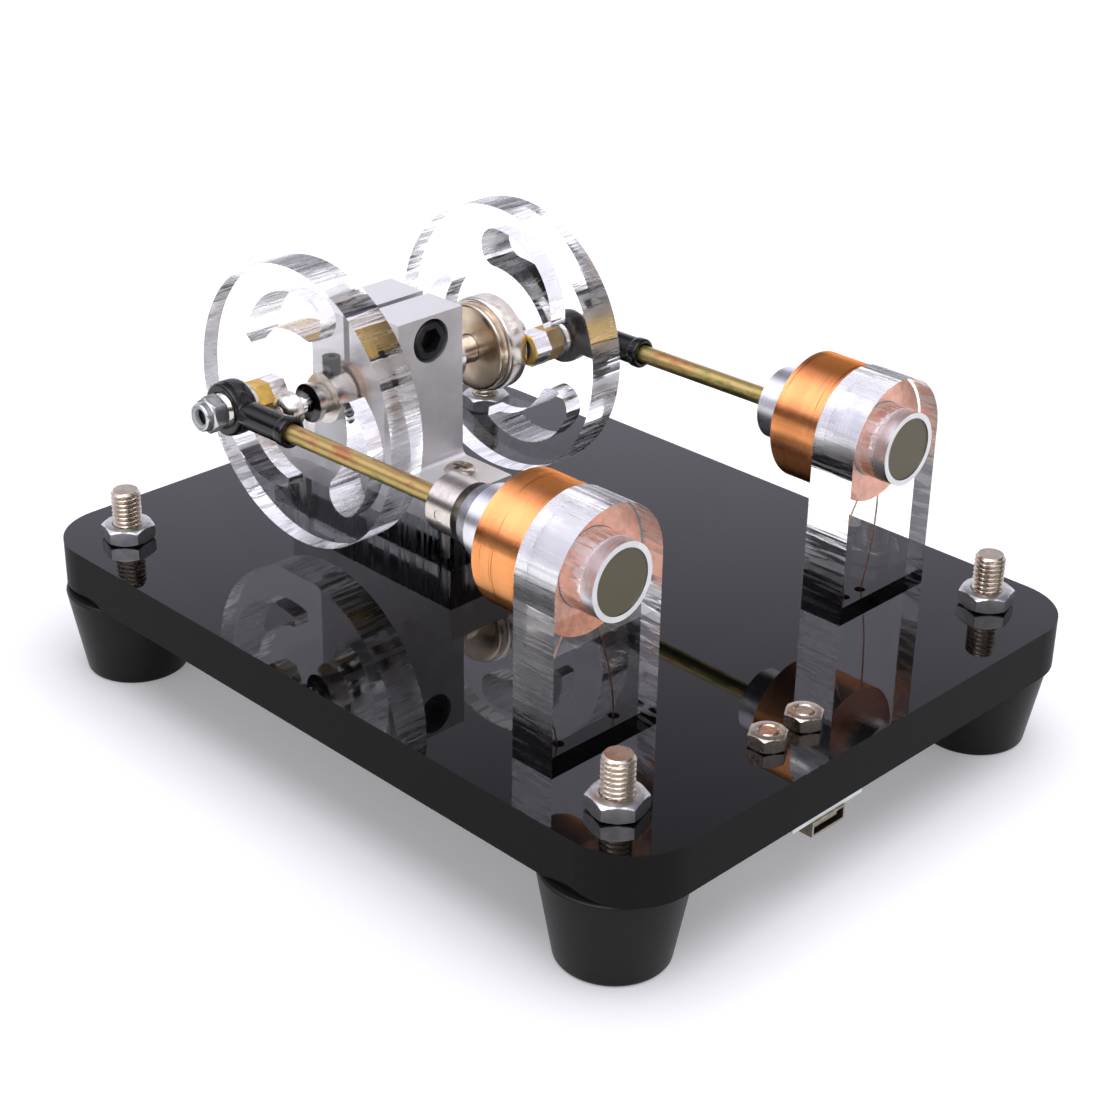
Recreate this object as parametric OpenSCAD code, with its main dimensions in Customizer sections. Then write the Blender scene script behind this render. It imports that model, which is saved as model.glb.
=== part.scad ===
// Demonstration electric engine: two solenoid coils pull iron plungers that turn
// a cranked shaft with two clear flywheels. All lengths are millimetres.
// +X runs from the shaft to the coils, +Y along the shaft, +Z up.

/* [Base plate] */
// Distance from the plate's rear end to the shaft
shaft_inset = 38.6; // [36:0.1:60]
// Distance from the coil posts to the plate's front end
post_margin = 24.01; // [23:0.01:40]
// Width of the base plate, along the shaft
base_w = 107; // [104:1:130]
// Thickness of the base plate
base_t = 8.5; // [6:0.5:12]
// Radius of the base plate's corners
base_corner = 11; // [4:0.5:14]
// Distance from the plate's ends to the corner screws
inset_x = 12.5; // [12:0.5:14]
// Distance from the plate's sides to the corner screws
inset_y = 10; // [8:0.5:12]

/* [Feet] */
// Height of a rubber foot
foot_h = 15.5; // [12:0.5:24]
// Diameter of a foot where it meets the plate
foot_top_d = 22.5; // [20:0.5:23]
// Diameter of a foot on the table
foot_bottom_d = 17.5; // [16:0.5:22]
// Diameter of the screw well in a foot
foot_well_d = 11; // [10.6:0.1:12]
// Rubber left between the screw well and the plate
foot_web_t = 4; // [3:0.5:6]

/* [Corner fasteners] */
// Diameter of a corner screw
corner_d = 5; // [4:0.5:6]
// Height that a corner screw reaches above the plate
corner_reach = 9; // [7:0.5:14]
// Width across the flats of a corner nut
corner_nut_w = 8; // [7.5:0.5:10]
// Height of a corner nut
corner_nut_h = 2.8; // [2.5:0.1:5]
// Diameter of a corner screw's head
corner_head_d = 9; // [8:0.5:9.5]
// Height of a corner screw's head
corner_head_h = 3.4; // [2.5:0.1:4]
// Thickness of the washer under a corner screw's head
corner_washer_t = 1; // [0.8:0.1:1.5]

/* [Shaft support] */
// Thickness of the clear block under the shaft support
riser_t = 7.3; // [6:0.1:12]
// Length of the support's foot, along the rods
support_l = 42; // [40:1:48]
// Thickness of the support, along the shaft
support_w = 14; // [13:0.5:16]
// Thickness of the support's foot
support_foot_t = 6; // [5:0.5:8]
// Length of the support's tower, along the rods
tower_l = 18; // [17:0.5:20]
// Height of the shaft's axis above the support's foot
support_axis_h = 20; // [19.5:0.5:24]
// Metal above the shaft's axis
tower_top = 12.8; // [12.5:0.1:15]
// Width of the clamping slit
slit_w = 1.4; // [1:0.1:2]
// Distance from the ends of the support's foot to its screws
support_edge = 5; // [4:0.5:6]
// Diameter of the small screws
screw_d = 3; // [2.5:0.5:3]
// Distance along the shaft from the middle of the coils to the support
support_shift = -3.8; // [-5:0.1:-3]

/* [Shaft] */
// Diameter of the shaft
shaft_d = 5; // [4.5:0.1:5.5]
// Outer diameter of a bearing bush
bush_d = 8; // [7.5:0.1:8.5]
// Diameter of a bearing bush's flange
bush_flange_d = 10; // [9.5:0.5:12]
// Thickness of a bearing bush's flange
bush_flange_t = 1; // [0.8:0.1:1.5]
// Length of a bearing bush inside the support
bush_l = 5.5; // [4:0.5:6]
// Diameter of a shaft collar
collar_d = 8.5; // [8:0.5:10]
// Width of a shaft collar
collar_w = 4; // [3.5:0.1:4.5]
// Diameter of the timing magnet
magnet_d = 15.6; // [14:0.2:16.4]
// Thickness of the timing magnet
magnet_t = 2.2; // [1.5:0.1:3]
// Diameter of the magnet's flange
flange_d = 17; // [16.6:0.2:19]
// Thickness of the magnet's flange
flange_t = 4; // [3:0.1:4.2]

/* [Flywheels] */
// Diameter of a flywheel
wheel_d = 48; // [47:0.5:50]
// Thickness of a flywheel
wheel_t = 6.6; // [6:0.1:7]
// Radial width of a flywheel's rim
rim_w = 3.8; // [3.5:0.1:4.4]
// Angle from the crank to the near flywheel's first window
window_turn_near = 17; // [0:1:119]
// Angle from the crank to the far flywheel's first window
window_turn_far = 84; // [0:1:119]
// Radius of the crank
crank_r = 7.75; // [7:0.05:8]
// Angle of the near crank in the modelled pose
crank_angle = 182; // [170:1:200]
// Width across the flats of a brass crank post
crank_post_w = 5.5; // [5:0.1:6]
// Distance that a brass crank post stands out of its flywheel
crank_post_reach = 3.2; // [3:0.1:3.6]

/* [Connecting rods] */
// Distance between a rod's two pivots
rod_l = 55; // [54:0.25:56]
// Diameter of a rod
rod_d = 3; // [2.6:0.1:3]
// Diameter of a rod end's ball
ball_d = 7; // [6.6:0.1:7.2]
// Width of a rod end's ball, along the shaft
ball_w = 5.2; // [4.8:0.1:5.6]
// Diameter of a rod end's eye
eye_d = 9.2; // [9:0.1:10]
// Width of a rod end's eye, along the shaft
eye_w = 4; // [3.8:0.1:4.2]
// Length of a rod end from the ball's centre
rod_end_l = 15.7; // [14:0.1:17]
// Diameter of a rod end's shank
shank_d = 4.8; // [4.6:0.1:5]

/* [Coils and plungers] */
// Height of the coils' axes above the shaft's axis
coil_rise = 1; // [0:0.1:1.5]
// Distance between the two coil axes
coil_spacing = 64.8; // [64:0.1:68]
// Distance from the plate's middle line to the middle of the coils
drive_y = -1.5; // [-2:0.1:0]
// Outer diameter of a coil tube
tube_d = 12; // [11.8:0.1:12.6]
// Wall of a coil tube
tube_wall = 0.9; // [0.8:0.05:1]
// Length of a coil tube
tube_l = 25.8; // [25:0.1:27]
// Distance that a coil tube stands out of its post
tube_reach = 2.4; // [1.5:0.1:3]
// Outer diameter of a coil
coil_d = 21; // [19:0.1:21.4]
// Length of a coil
coil_l = 9; // [8.8:0.1:10]
// Number of turns in a coil's outer layer
coil_turns = 9; // [6:1:9]
// Diameter of the coil's wire
wire_d = 0.42; // [0.3:0.01:0.42]
// Width of a clear coil post
post_w = 21.6; // [20:0.1:22]
// Thickness of a clear coil post
post_t = 8; // [7:0.1:8.4]
// Depth that a coil post sits in the base plate
post_seat = 4; // [2:0.5:5]
// Diameter of a plunger's head
head_d = 9.3; // [8.2:0.1:9.4]
// Thickness of the plug in the front of a coil tube
plug_t = 2; // [1.5:0.1:2.5]

/* [Power socket] */
// Distance from the plate's middle line to the socket
socket_y = -11.5; // [-14:0.5:-8]
// Length and width of the socket's circuit board
board_w = 16; // [15:0.5:18]
// Thickness of the circuit board
board_t = 1; // [0.8:0.1:2]
// Width of the socket's shell
shell_w = 7.5; // [7:0.1:9]
// Height of the socket's shell
shell_h = 2.5; // [2.4:0.1:3.2]
// Depth of the socket's shell
shell_l = 5.6; // [5:0.1:6]
// Distance between the board's two screws
board_pitch = 8.2; // [8:0.1:9]

/* [Hidden] */
$fn = 64;

// Clearances: seated pieces, running fits, pieces that pass each other, and the cuts' overrun
seat_gap = 0.05;
run_gap = 0.05;
pass_gap = 0.3;
cut = 1;

// Heights
plate_z = foot_h;
top_z = foot_h + base_t;
support_z = top_z + riser_t;
axis_z = support_z + support_axis_h;
coil_z = axis_z + coil_rise;

// Plungers: the crank's dead centres set the tube's place and the core's length
head_rear = 2.8;
head_front = 2.5;
neck_l = 1.8;
neck_d = 5;
mouth_gap = 4.25;
plug_recess = 0.2;
core_end_gap = 0.6;
wrist_min = sqrt((rod_l - crank_r) * (rod_l - crank_r) - coil_rise * coil_rise);
wrist_max = sqrt((rod_l + crank_r) * (rod_l + crank_r) - coil_rise * coil_rise);

// The plate reaches from behind the shaft to beyond the coil posts
drive_l = wrist_min + head_front + mouth_gap + tube_l - tube_reach;
base_l = shaft_inset + drive_l + post_margin;
shaft_x = shaft_inset - base_l / 2;

// Corner screws
corner_x = base_l / 2 - inset_x;
corner_y = base_w / 2 - inset_y;
corner_washer_d = foot_well_d - 2 * pass_gap;
shank_relief = 0.5;
socket_share = 0.55;
recess_share = 0.6;

// Small screws and nuts
screw_head_d = 5.8;
screw_head_h = 2.2;
screw_nut_w = 5.5;
screw_nut_h = 2.4;
screw_tip = 1.2;

// Shaft support
support_pitch = support_l - 2 * support_edge;
clamp_d = 4;
clamp_head_d = 7;
clamp_head_h = 4;
clamp_above_axis = 8.4;
clamp_tip_wall = 1.5;
support_fillet = 1.2;
support_y = drive_y + support_shift;

// Flywheels along the shaft, measured from the middle of the coils
crank_washer_t = 0.5;
crank_washer_d = 6;
wheel_mid = coil_spacing / 2 - ball_w / 2 - pass_gap - crank_washer_t - crank_post_reach - wheel_t / 2;
wheel_inner = wheel_mid - wheel_t / 2;
wheel_outer = wheel_mid + wheel_t / 2;
post_outer = wheel_outer + crank_post_reach;
rim_r = wheel_d / 2 - rim_w;
hub_screw_d = 3;
hub_head_d = 6;
hub_head_h = 3;
hub_thread_l = 8;
hub_washer_d = 6.6;
hub_washer_t = 1;
stud_recess = 0.4;
magnet_cone_share = 0.62;
end_play = 0.3;
collar_screw_d = 3;
collar_screw_reach = 2.6;

// Three windows, each a comma: a crescent with a round head and a cut tail
window_count = 3;
window_web_share = 0.663;
window_head_angle = 4;
window_tail_angle = -62;

// Connecting rods in the modelled pose
wrist_pin_d = 1.8;
rod_eye_d = 3.8;
rod_thread_l = 8;
lock_nut_h = 4;
lock_nut_collar_h = 1.3;
lock_nut_collar_share = 0.86;
bolt_recess = 1.2;
shank_cut = 0.6;

// Tubes, cores, posts and coils along the rods
tube_rear_x = shaft_x + wrist_min + head_front + mouth_gap;
tube_front_x = tube_rear_x + tube_l;
tube_bore_r = tube_d / 2 - tube_wall;
plug_rear_x = tube_front_x - plug_recess - plug_t;
core_front = plug_rear_x - core_end_gap - wrist_max - shaft_x;
core_rear = head_front + neck_l;
post_front_x = tube_front_x - tube_reach;
post_rear_x = post_front_x - post_t;
coil_rear_x = post_rear_x - coil_l;

// Winding: one wire wound over a plain core, its turns at a steady pitch
wire_lift = 0.12;
coil_core_d = coil_d - 2 * wire_d - 2 * wire_lift;
coil_rear_margin = 0.35;
coil_front_margin = 1;
wire_pitch = (coil_l - coil_rear_margin - coil_front_margin) / coil_turns;
wire_rings = 24;
wire_sides = 6;

// Leads: each leaves its coil's underside behind the post, drops through a hole
// in the plate and runs under it to the circuit board
lead_d = 0.4;
lead_sides = 8;
lead_corner_share = 0.25;
lead_hole_d = 1.8;
lead_hole_back = 2.2;
lead_hole_x = post_rear_x - lead_hole_back;
lead_start_back = 0.5;
lead_sink = 0.35;
lead_start_r = coil_d / 2 - lead_sink;
lead_stub = 0.4;
lead_belly_back = 1;
lead_belly_z = 13.3;
lead_drop_back = 1.8;
lead_drop_z = 7;
lead_under = 0.8;
lead_bend = 1.4;
lead_tail = 1;
lead_bow = 0.8;
lead_run_share = 0.6;
board_x = base_l / 2 - board_w;
// Across each coil's axis: where a lead starts, bellies, drops, meets the plate and turns under it.
// Last is its distance from the socket's middle where it meets the board.
LEADS_NEAR = [[-4.8, -6.3, -6.1, -3.5, -2.1, -4.5], [2.8, 3.9, 6.9, 8, 9.3, -1.5]];
LEADS_FAR = [[1.8, 2.6, 3.1, 1.5, -0.1, 4.5], [-3.5, -4.7, -4.7, -2.5, -4.1, 1.5]];

// Power socket
shell_wall = 0.35;
tongue_t = 0.7;
tongue_w_share = 0.7;
tongue_set = 0.6;
board_back = 9;
board_tab = 0.3;

// Where the sides of the machine lie, near and far
function side_y(side) = drive_y + side * coil_spacing / 2;
function crank_turn(side) = side < 0 ? crank_angle : crank_angle + 180;
function pin_dx(side) = crank_r * cos(crank_turn(side));
function pin_dz(side) = crank_r * sin(crank_turn(side));
function rod_rise(side) = coil_rise - pin_dz(side);
function wrist_x(side) = shaft_x + pin_dx(side) + sqrt(rod_l * rod_l - rod_rise(side) * rod_rise(side));
function rod_tilt(side) = asin(rod_rise(side) / rod_l);

// Colours
acrylic = [0.85, 0.9, 0.92, 0.45];
zinc = [0.78, 0.79, 0.8];
yellow_zinc = [0.82, 0.72, 0.42];
copper = [0.85, 0.5, 0.3];

// A straight piece along +Y from y0 to y1 at the shaft's height
module along_y(x, z, y0, y1, d) {
    translate([x, y0, z]) rotate([-90, 0, 0]) cylinder(d = d, h = y1 - y0);
}

// A straight piece along +X from x0 to x1 on a coil's axis
module along_x(side, x0, x1, d) {
    translate([x0, side_y(side), coil_z]) rotate([0, 90, 0]) cylinder(d = d, h = x1 - x0);
}

// The four corners
module at_corners() {
    for (x = [-corner_x, corner_x], y = [-corner_y, corner_y]) translate([x, y, 0]) children();
}

// Both screws of the shaft support
module at_support_screws() {
    for (x = [-1, 1]) translate([shaft_x + x * support_pitch / 2, support_y, 0]) children();
}

// Both screws of the circuit board
module at_board_screws() {
    for (y = [-1, 1]) translate([base_l / 2 - board_back, socket_y + y * board_pitch / 2, 0]) children();
}

// A hexagon nut with its bore, standing on z = 0
module nut(w, h, bore) {
    difference() {
        cylinder(d = w / cos(30), h = h, $fn = 6);
        translate([0, 0, -cut]) cylinder(d = bore, h = h + 2 * cut);
    }
}

// A flat ring standing on z = 0
module ring(outer, bore, h) {
    difference() {
        cylinder(d = outer, h = h);
        translate([0, 0, -cut]) cylinder(d = bore, h = h + 2 * cut);
    }
}

// Outline of the plate
module plate_outline() {
    x = base_l / 2 - base_corner;
    y = base_w / 2 - base_corner;
    square([base_l, 2 * y], center = true);
    square([2 * x, base_w], center = true);
    for (u = [-x, x], v = [-y, y]) translate([u, v]) circle(r = base_corner);
}

module base_plate() {
    color([0.05, 0.05, 0.05])
    difference() {
        translate([0, 0, plate_z]) linear_extrude(base_t) plate_outline();
        translate([0, 0, plate_z - cut]) {
            at_corners() cylinder(d = corner_d + 2 * seat_gap, h = base_t + 2 * cut);
            at_support_screws() cylinder(d = screw_d + 2 * seat_gap, h = base_t + 2 * cut);
            at_board_screws() cylinder(d = screw_d + 2 * seat_gap, h = base_t + 2 * cut);
            for (side = [-1, 1], lead = leads_of(side))
                translate([lead_hole_x, side_y(side) + lead[3], 0])
                    cylinder(d = lead_hole_d, h = base_t + 2 * cut);
        }
        for (side = [-1, 1])
            translate([post_rear_x - seat_gap, side_y(side) - post_w / 2 - seat_gap, top_z - post_seat])
                cube([post_t + 2 * seat_gap, post_w + 2 * seat_gap, post_seat + cut]);
    }
}

// A tapered rubber foot with a well for the screw's head
module foot(x, y) {
    color([0.09, 0.09, 0.1])
    translate([x, y, 0])
    difference() {
        cylinder(d1 = foot_bottom_d, d2 = foot_top_d, h = foot_h);
        translate([0, 0, -cut]) cylinder(d = foot_well_d, h = foot_h - foot_web_t + cut);
        cylinder(d = corner_d + 2 * seat_gap, h = foot_h + cut);
    }
}

module foot_washers() {
    color(zinc)
    at_corners() translate([0, 0, foot_h - foot_web_t - corner_washer_t])
        ring(corner_washer_d, corner_d + 2 * seat_gap, corner_washer_t);
}

module foot_screws() {
    head_top = foot_h - foot_web_t - corner_washer_t;
    color(yellow_zinc)
    at_corners() difference() {
        union() {
            translate([0, 0, head_top - corner_head_h]) cylinder(d = corner_head_d, h = corner_head_h);
            translate([0, 0, head_top])
                cylinder(d = corner_d - shank_relief, h = top_z + corner_nut_h - head_top);
            translate([0, 0, top_z + corner_nut_h]) cylinder(d = corner_d, h = corner_reach - corner_nut_h);
        }
        translate([0, 0, head_top - corner_head_h - cut])
            cylinder(d = corner_head_d * socket_share, h = corner_head_h * recess_share + cut, $fn = 6);
    }
}

module foot_nuts() {
    color(zinc)
    at_corners() translate([0, 0, top_z]) rotate(15) nut(corner_nut_w, corner_nut_h, corner_d + 2 * seat_gap);
}

module support_riser() {
    color(acrylic)
    difference() {
        translate([shaft_x - support_l / 2, support_y - support_w / 2, top_z])
            cube([support_l, support_w, riser_t]);
        translate([0, 0, top_z - cut]) at_support_screws() cylinder(d = screw_d + 2 * seat_gap, h = riser_t + 2 * cut);
    }
}

// Side view of the support: a foot and a tower with a small radius between them
module support_outline() {
    top = support_axis_h + tower_top;
    translate([-support_l / 2, 0]) square([support_l, support_foot_t]);
    translate([-tower_l / 2, 0]) square([tower_l, top]);
    for (s = [-1, 1]) scale([s, 1])
        translate([tower_l / 2, support_foot_t]) difference() {
            square(support_fillet);
            translate([support_fillet, support_fillet]) circle(r = support_fillet);
        }
}

module shaft_support() {
    clamp_z = axis_z + clamp_above_axis;
    far_x = tower_l / 2 - clamp_tip_wall;
    color([0.72, 0.73, 0.74])
    difference() {
        translate([shaft_x, support_y + support_w / 2, support_z])
            rotate([90, 0, 0]) linear_extrude(support_w) support_outline();
        along_y(shaft_x, axis_z, support_y - support_w / 2 - cut, support_y + support_w / 2 + cut,
            bush_d + 2 * seat_gap);
        translate([shaft_x - slit_w / 2, support_y - support_w / 2 - cut, axis_z])
            cube([slit_w, support_w + 2 * cut, tower_top + cut]);
        translate([shaft_x - far_x, support_y, clamp_z])
            rotate([0, 90, 0]) cylinder(d = clamp_d + 2 * seat_gap, h = tower_l);
        translate([shaft_x + tower_l / 2 - clamp_head_h, support_y, clamp_z])
            rotate([0, 90, 0]) cylinder(d = clamp_head_d + 2 * pass_gap, h = clamp_head_h + cut);
        translate([0, 0, support_z - cut]) at_support_screws()
            cylinder(d = screw_d + 2 * seat_gap, h = support_foot_t + 2 * cut);
    }
}

module clamp_screw() {
    head_x = shaft_x + tower_l / 2 - clamp_head_h;
    tip_x = shaft_x - tower_l / 2 + clamp_tip_wall + seat_gap;
    color([0.07, 0.07, 0.08])
    translate([0, support_y, axis_z + clamp_above_axis]) difference() {
        union() {
            translate([tip_x, 0, 0]) rotate([0, 90, 0]) cylinder(d = clamp_d, h = head_x - tip_x + seat_gap);
            translate([head_x, 0, 0]) rotate([0, 90, 0]) cylinder(d = clamp_head_d, h = clamp_head_h);
        }
        translate([head_x + clamp_head_h * (1 - recess_share), 0, 0])
            rotate([0, 90, 0]) cylinder(d = clamp_head_d * socket_share, h = clamp_head_h, $fn = 6);
    }
}

// A cheese head screw pointing down from z = 0, with its recess
module small_screw(l) {
    difference() {
        union() {
            cylinder(d = screw_head_d, h = screw_head_h);
            translate([0, 0, -l]) cylinder(d = screw_d, h = l);
        }
        for (a = [0, 90]) rotate(a)
            translate([-screw_d / 2, -screw_d / 8, screw_head_h * (1 - recess_share)])
                cube([screw_d, screw_d / 4, screw_head_h]);
    }
}

module support_screws() {
    color(zinc)
    translate([0, 0, support_z + support_foot_t]) at_support_screws()
        small_screw(support_foot_t + riser_t + base_t + screw_nut_h + screw_tip);
}

module support_nuts() {
    color(zinc)
    translate([0, 0, plate_z - screw_nut_h]) at_support_screws()
        nut(screw_nut_w, screw_nut_h, screw_d + 2 * seat_gap);
}

// Bronze bushes, pressed in from both faces of the support
module bearing_bushes() {
    color([0.72, 0.5, 0.28])
    for (s = [-1, 1]) translate([shaft_x, support_y + s * support_w / 2, axis_z])
        rotate([s * 90, 0, 0]) difference() {
            union() {
                translate([0, 0, -bush_flange_t]) cylinder(d = bush_flange_d, h = bush_flange_t);
                translate([0, 0, -seat_gap]) cylinder(d = bush_d, h = bush_l + seat_gap);
            }
            translate([0, 0, -bush_flange_t - cut])
                cylinder(d = shaft_d + 2 * run_gap, h = bush_l + bush_flange_t + 2 * cut);
        }
}

// Ends of the shaft, against the flywheels' inner faces
shaft_near_y = drive_y - wheel_inner;
shaft_far_y = drive_y + wheel_inner;

module shaft() {
    color([0.8, 0.8, 0.82])
    difference() {
        along_y(shaft_x, axis_z, shaft_near_y, shaft_far_y, shaft_d);
        along_y(shaft_x, axis_z, shaft_near_y - cut, shaft_near_y + hub_thread_l + pass_gap,
            hub_screw_d + 2 * seat_gap);
        along_y(shaft_x, axis_z, shaft_far_y - hub_thread_l - pass_gap, shaft_far_y + cut,
            hub_screw_d + 2 * seat_gap);
    }
}

// Inner face of a collar, just clear of its bush
function collar_y(s) = support_y + s * (support_w / 2 + bush_flange_t + end_play);

module shaft_collars() {
    color([0.7, 0.71, 0.73])
    for (s = [-1, 1]) translate([shaft_x, collar_y(s), axis_z]) difference() {
        rotate([-s * 90, 0, 0]) ring(collar_d, shaft_d + 2 * seat_gap, collar_w);
        translate([0, s * collar_w / 2, 0]) cylinder(d = collar_screw_d + 2 * seat_gap, h = collar_d);
    }
}

module collar_screws() {
    reach = collar_d / 2 + collar_screw_reach;
    color([0.35, 0.35, 0.37])
    for (s = [-1, 1]) translate([shaft_x, collar_y(s) + s * collar_w / 2, axis_z]) difference() {
        translate([0, 0, shaft_d / 2 + seat_gap])
            cylinder(d = collar_screw_d, h = reach - shaft_d / 2 - seat_gap);
        translate([0, 0, reach - collar_screw_reach * recess_share])
            cylinder(d = collar_screw_d * socket_share, h = collar_screw_reach, $fn = 6);
    }
}

module hub_washer() {
    color(zinc)
    translate([shaft_x, shaft_near_y, axis_z]) rotate([-90, 0, 0])
        ring(hub_washer_d, shaft_d + 2 * seat_gap, hub_washer_t);
}

// Screws that clamp the flywheels to the ends of the shaft
module hub_screws() {
    color([0.8, 0.8, 0.82])
    for (s = [-1, 1]) translate([shaft_x, drive_y + s * wheel_outer, axis_z]) rotate([-s * 90, 0, 0])
        difference() {
            union() {
                cylinder(d = hub_head_d, h = hub_head_h);
                translate([0, 0, -wheel_t - hub_thread_l])
                    cylinder(d = hub_screw_d, h = wheel_t + hub_thread_l);
            }
            translate([0, 0, hub_head_h * (1 - recess_share)])
                cylinder(d = hub_head_d * socket_share, h = hub_head_h, $fn = 6);
        }
}

// Ring magnet with a countersunk centre, then the flange that carries it
module timing_magnet() {
    y0 = drive_y + wheel_inner - flange_t - magnet_t;
    color([0.6, 0.58, 0.54])
    translate([shaft_x, y0, axis_z]) rotate([-90, 0, 0]) difference() {
        cylinder(d = magnet_d, h = magnet_t);
        translate([0, 0, -cut]) cylinder(d = shaft_d + 2 * seat_gap, h = magnet_t + 2 * cut);
        cylinder(d1 = magnet_d * magnet_cone_share, d2 = shaft_d, h = magnet_t);
    }
}

module magnet_flange() {
    color([0.66, 0.65, 0.62])
    translate([shaft_x, drive_y + wheel_inner - flange_t, axis_z]) rotate([-90, 0, 0])
        ring(flange_d, shaft_d + 2 * seat_gap, flange_t);
}

// One window, drawn with its widest place along +X
module window_outline() {
    far = 2 * rim_r;
    web_r = rim_r * window_web_share;
    head_r = (rim_r - web_r) / 2;
    intersection() {
        difference() {
            translate([rim_r - web_r, 0]) circle(r = web_r);
            circle(r = web_r);
        }
        polygon([
            [0, 0],
            [far * cos(window_tail_angle), far * sin(window_tail_angle)],
            [far * cos(window_head_angle), far * sin(window_head_angle)]
        ]);
    }
    rotate(window_head_angle) translate([rim_r - head_r, 0]) circle(r = head_r);
}

// A flywheel, drawn with its crank along +X and turned to its place; the two face each other
module flywheel(side) {
    window_turn = side < 0 ? window_turn_near : window_turn_far;
    color(acrylic)
    translate([shaft_x, drive_y + side * wheel_mid + wheel_t / 2, axis_z]) rotate([90, 0, 0])
    rotate(crank_turn(side)) difference() {
        linear_extrude(wheel_t) difference() {
            circle(d = wheel_d);
            for (i = [1 : window_count])
                rotate(window_turn + i * 360 / window_count) scale([1, side]) window_outline();
            circle(d = hub_screw_d + 2 * seat_gap);
        }
        translate([crank_r, 0, -cut])
            cylinder(d = (crank_post_w + 2 * seat_gap) / cos(30), h = wheel_t + 2 * cut, $fn = 6);
    }
}

// Turned to a crank pin, looking outward along the shaft
module at_crank(side, out) {
    translate([shaft_x + pin_dx(side), drive_y + side * out, axis_z + pin_dz(side)])
        rotate([-side * 90, 0, 0]) rotate(-side * crank_turn(side)) children();
}

module crank_post(side) {
    color([0.8, 0.62, 0.25])
    at_crank(side, wheel_inner) difference() {
        cylinder(d = crank_post_w / cos(30), h = post_outer - wheel_inner, $fn = 6);
        translate([0, 0, -cut]) cylinder(d = screw_d + 2 * seat_gap, h = post_outer + cut);
    }
}

module crank_studs() {
    color(zinc)
    for (side = [-1, 1]) at_crank(side, wheel_inner)
        translate([0, 0, stud_recess])
            cylinder(d = screw_d, h = post_outer + crank_washer_t - wheel_inner - stud_recess);
}

module crank_washers() {
    color(zinc)
    for (side = [-1, 1]) at_crank(side, post_outer)
        ring(crank_washer_d, screw_d + 2 * seat_gap, crank_washer_t);
}

// The ball, its bolt and lock nut, all outside the crank washer
ball_in = coil_spacing / 2 - ball_w / 2;
ball_out = coil_spacing / 2 + ball_w / 2;

module rod_ball(side) {
    color([0.62, 0.63, 0.65])
    at_crank(side, coil_spacing / 2) difference() {
        intersection() {
            sphere(d = ball_d);
            cube([ball_d + cut, ball_d + cut, ball_w], center = true);
        }
        translate([0, 0, -ball_w]) cylinder(d = screw_d + 2 * seat_gap, h = 2 * ball_w);
    }
}

module crank_bolt(side) {
    color(zinc)
    at_crank(side, ball_in) cylinder(d = screw_d, h = ball_w + lock_nut_h - bolt_recess);
}

module lock_nut(side) {
    hex_h = lock_nut_h - lock_nut_collar_h;
    color(zinc)
    at_crank(side, ball_out) difference() {
        union() {
            cylinder(d = screw_nut_w / cos(30), h = hex_h, $fn = 6);
            cylinder(d = screw_nut_w * lock_nut_collar_share, h = lock_nut_h);
        }
        translate([0, 0, -cut]) cylinder(d = screw_d + 2 * seat_gap, h = lock_nut_h + 2 * cut);
    }
}

// Laid along a rod: the origin is the ball, +X points to the wrist pin
module at_rod(side) {
    translate([shaft_x + pin_dx(side), side_y(side), axis_z + pin_dz(side)])
        rotate([0, -rod_tilt(side), 0]) children();
}

module rod_end(side) {
    inner = rod_end_l - rod_thread_l;
    color([0.08, 0.08, 0.08])
    at_rod(side) difference() {
        union() {
            rotate([90, 0, 0]) cylinder(d = eye_d, h = eye_w, center = true);
            rotate([0, 90, 0]) cylinder(d = shank_d, h = rod_end_l);
        }
        sphere(d = ball_d + 2 * run_gap);
        for (s = [-1, 1]) translate([0, s * (eye_w / 2 + ball_w / 2), 0])
            cube([ball_d, ball_w, ball_d], center = true);
        translate([inner, 0, 0]) rotate([0, 90, 0]) cylinder(d = rod_d + 2 * seat_gap, h = rod_end_l);
    }
}

module con_rod(side) {
    start = rod_end_l - rod_thread_l + shank_cut;
    color(yellow_zinc)
    at_rod(side) difference() {
        union() {
            translate([start, 0, 0]) rotate([0, 90, 0]) cylinder(d = rod_d, h = rod_l - start);
            translate([rod_l, 0, 0]) rotate([90, 0, 0]) cylinder(d = rod_eye_d, h = rod_d, center = true);
        }
        translate([rod_l, 0, 0]) rotate([90, 0, 0])
            cylinder(d = wrist_pin_d + 2 * run_gap, h = rod_d + 2 * cut, center = true);
        translate([rod_l + rod_eye_d / 2, -rod_d, -rod_d]) cube([rod_d, 2 * rod_d, 2 * rod_d]);
    }
}

// Nickel plated head with a pocket that lets the rod swing
module plunger_head(side) {
    wx = wrist_x(side);
    y = side_y(side);
    pocket_w = rod_d + 2 * pass_gap;
    pocket_h = rod_eye_d + 2 * pass_gap;
    pocket_front = rod_eye_d / 2 + pass_gap;
    color([0.75, 0.74, 0.7])
    difference() {
        union() {
            along_x(side, wx - head_rear, wx + head_front, head_d);
            along_x(side, wx + head_front - seat_gap, wx + core_rear + neck_l, neck_d);
        }
        translate([wx - head_rear - cut, y - pocket_w / 2, coil_z - pocket_h / 2])
            cube([head_rear + cut + pocket_front, pocket_w, pocket_h]);
        along_y(wx, coil_z, y - head_d, y + head_d, wrist_pin_d + 2 * seat_gap);
    }
}

// Iron core that the coil pulls along the tube
module plunger_core(side) {
    wx = wrist_x(side);
    color([0.42, 0.42, 0.43])
    difference() {
        along_x(side, wx + core_rear, wx + core_front, 2 * (tube_bore_r - run_gap));
        along_x(side, wx + core_rear - cut, wx + core_rear + neck_l + pass_gap, neck_d + 2 * seat_gap);
    }
}

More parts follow.
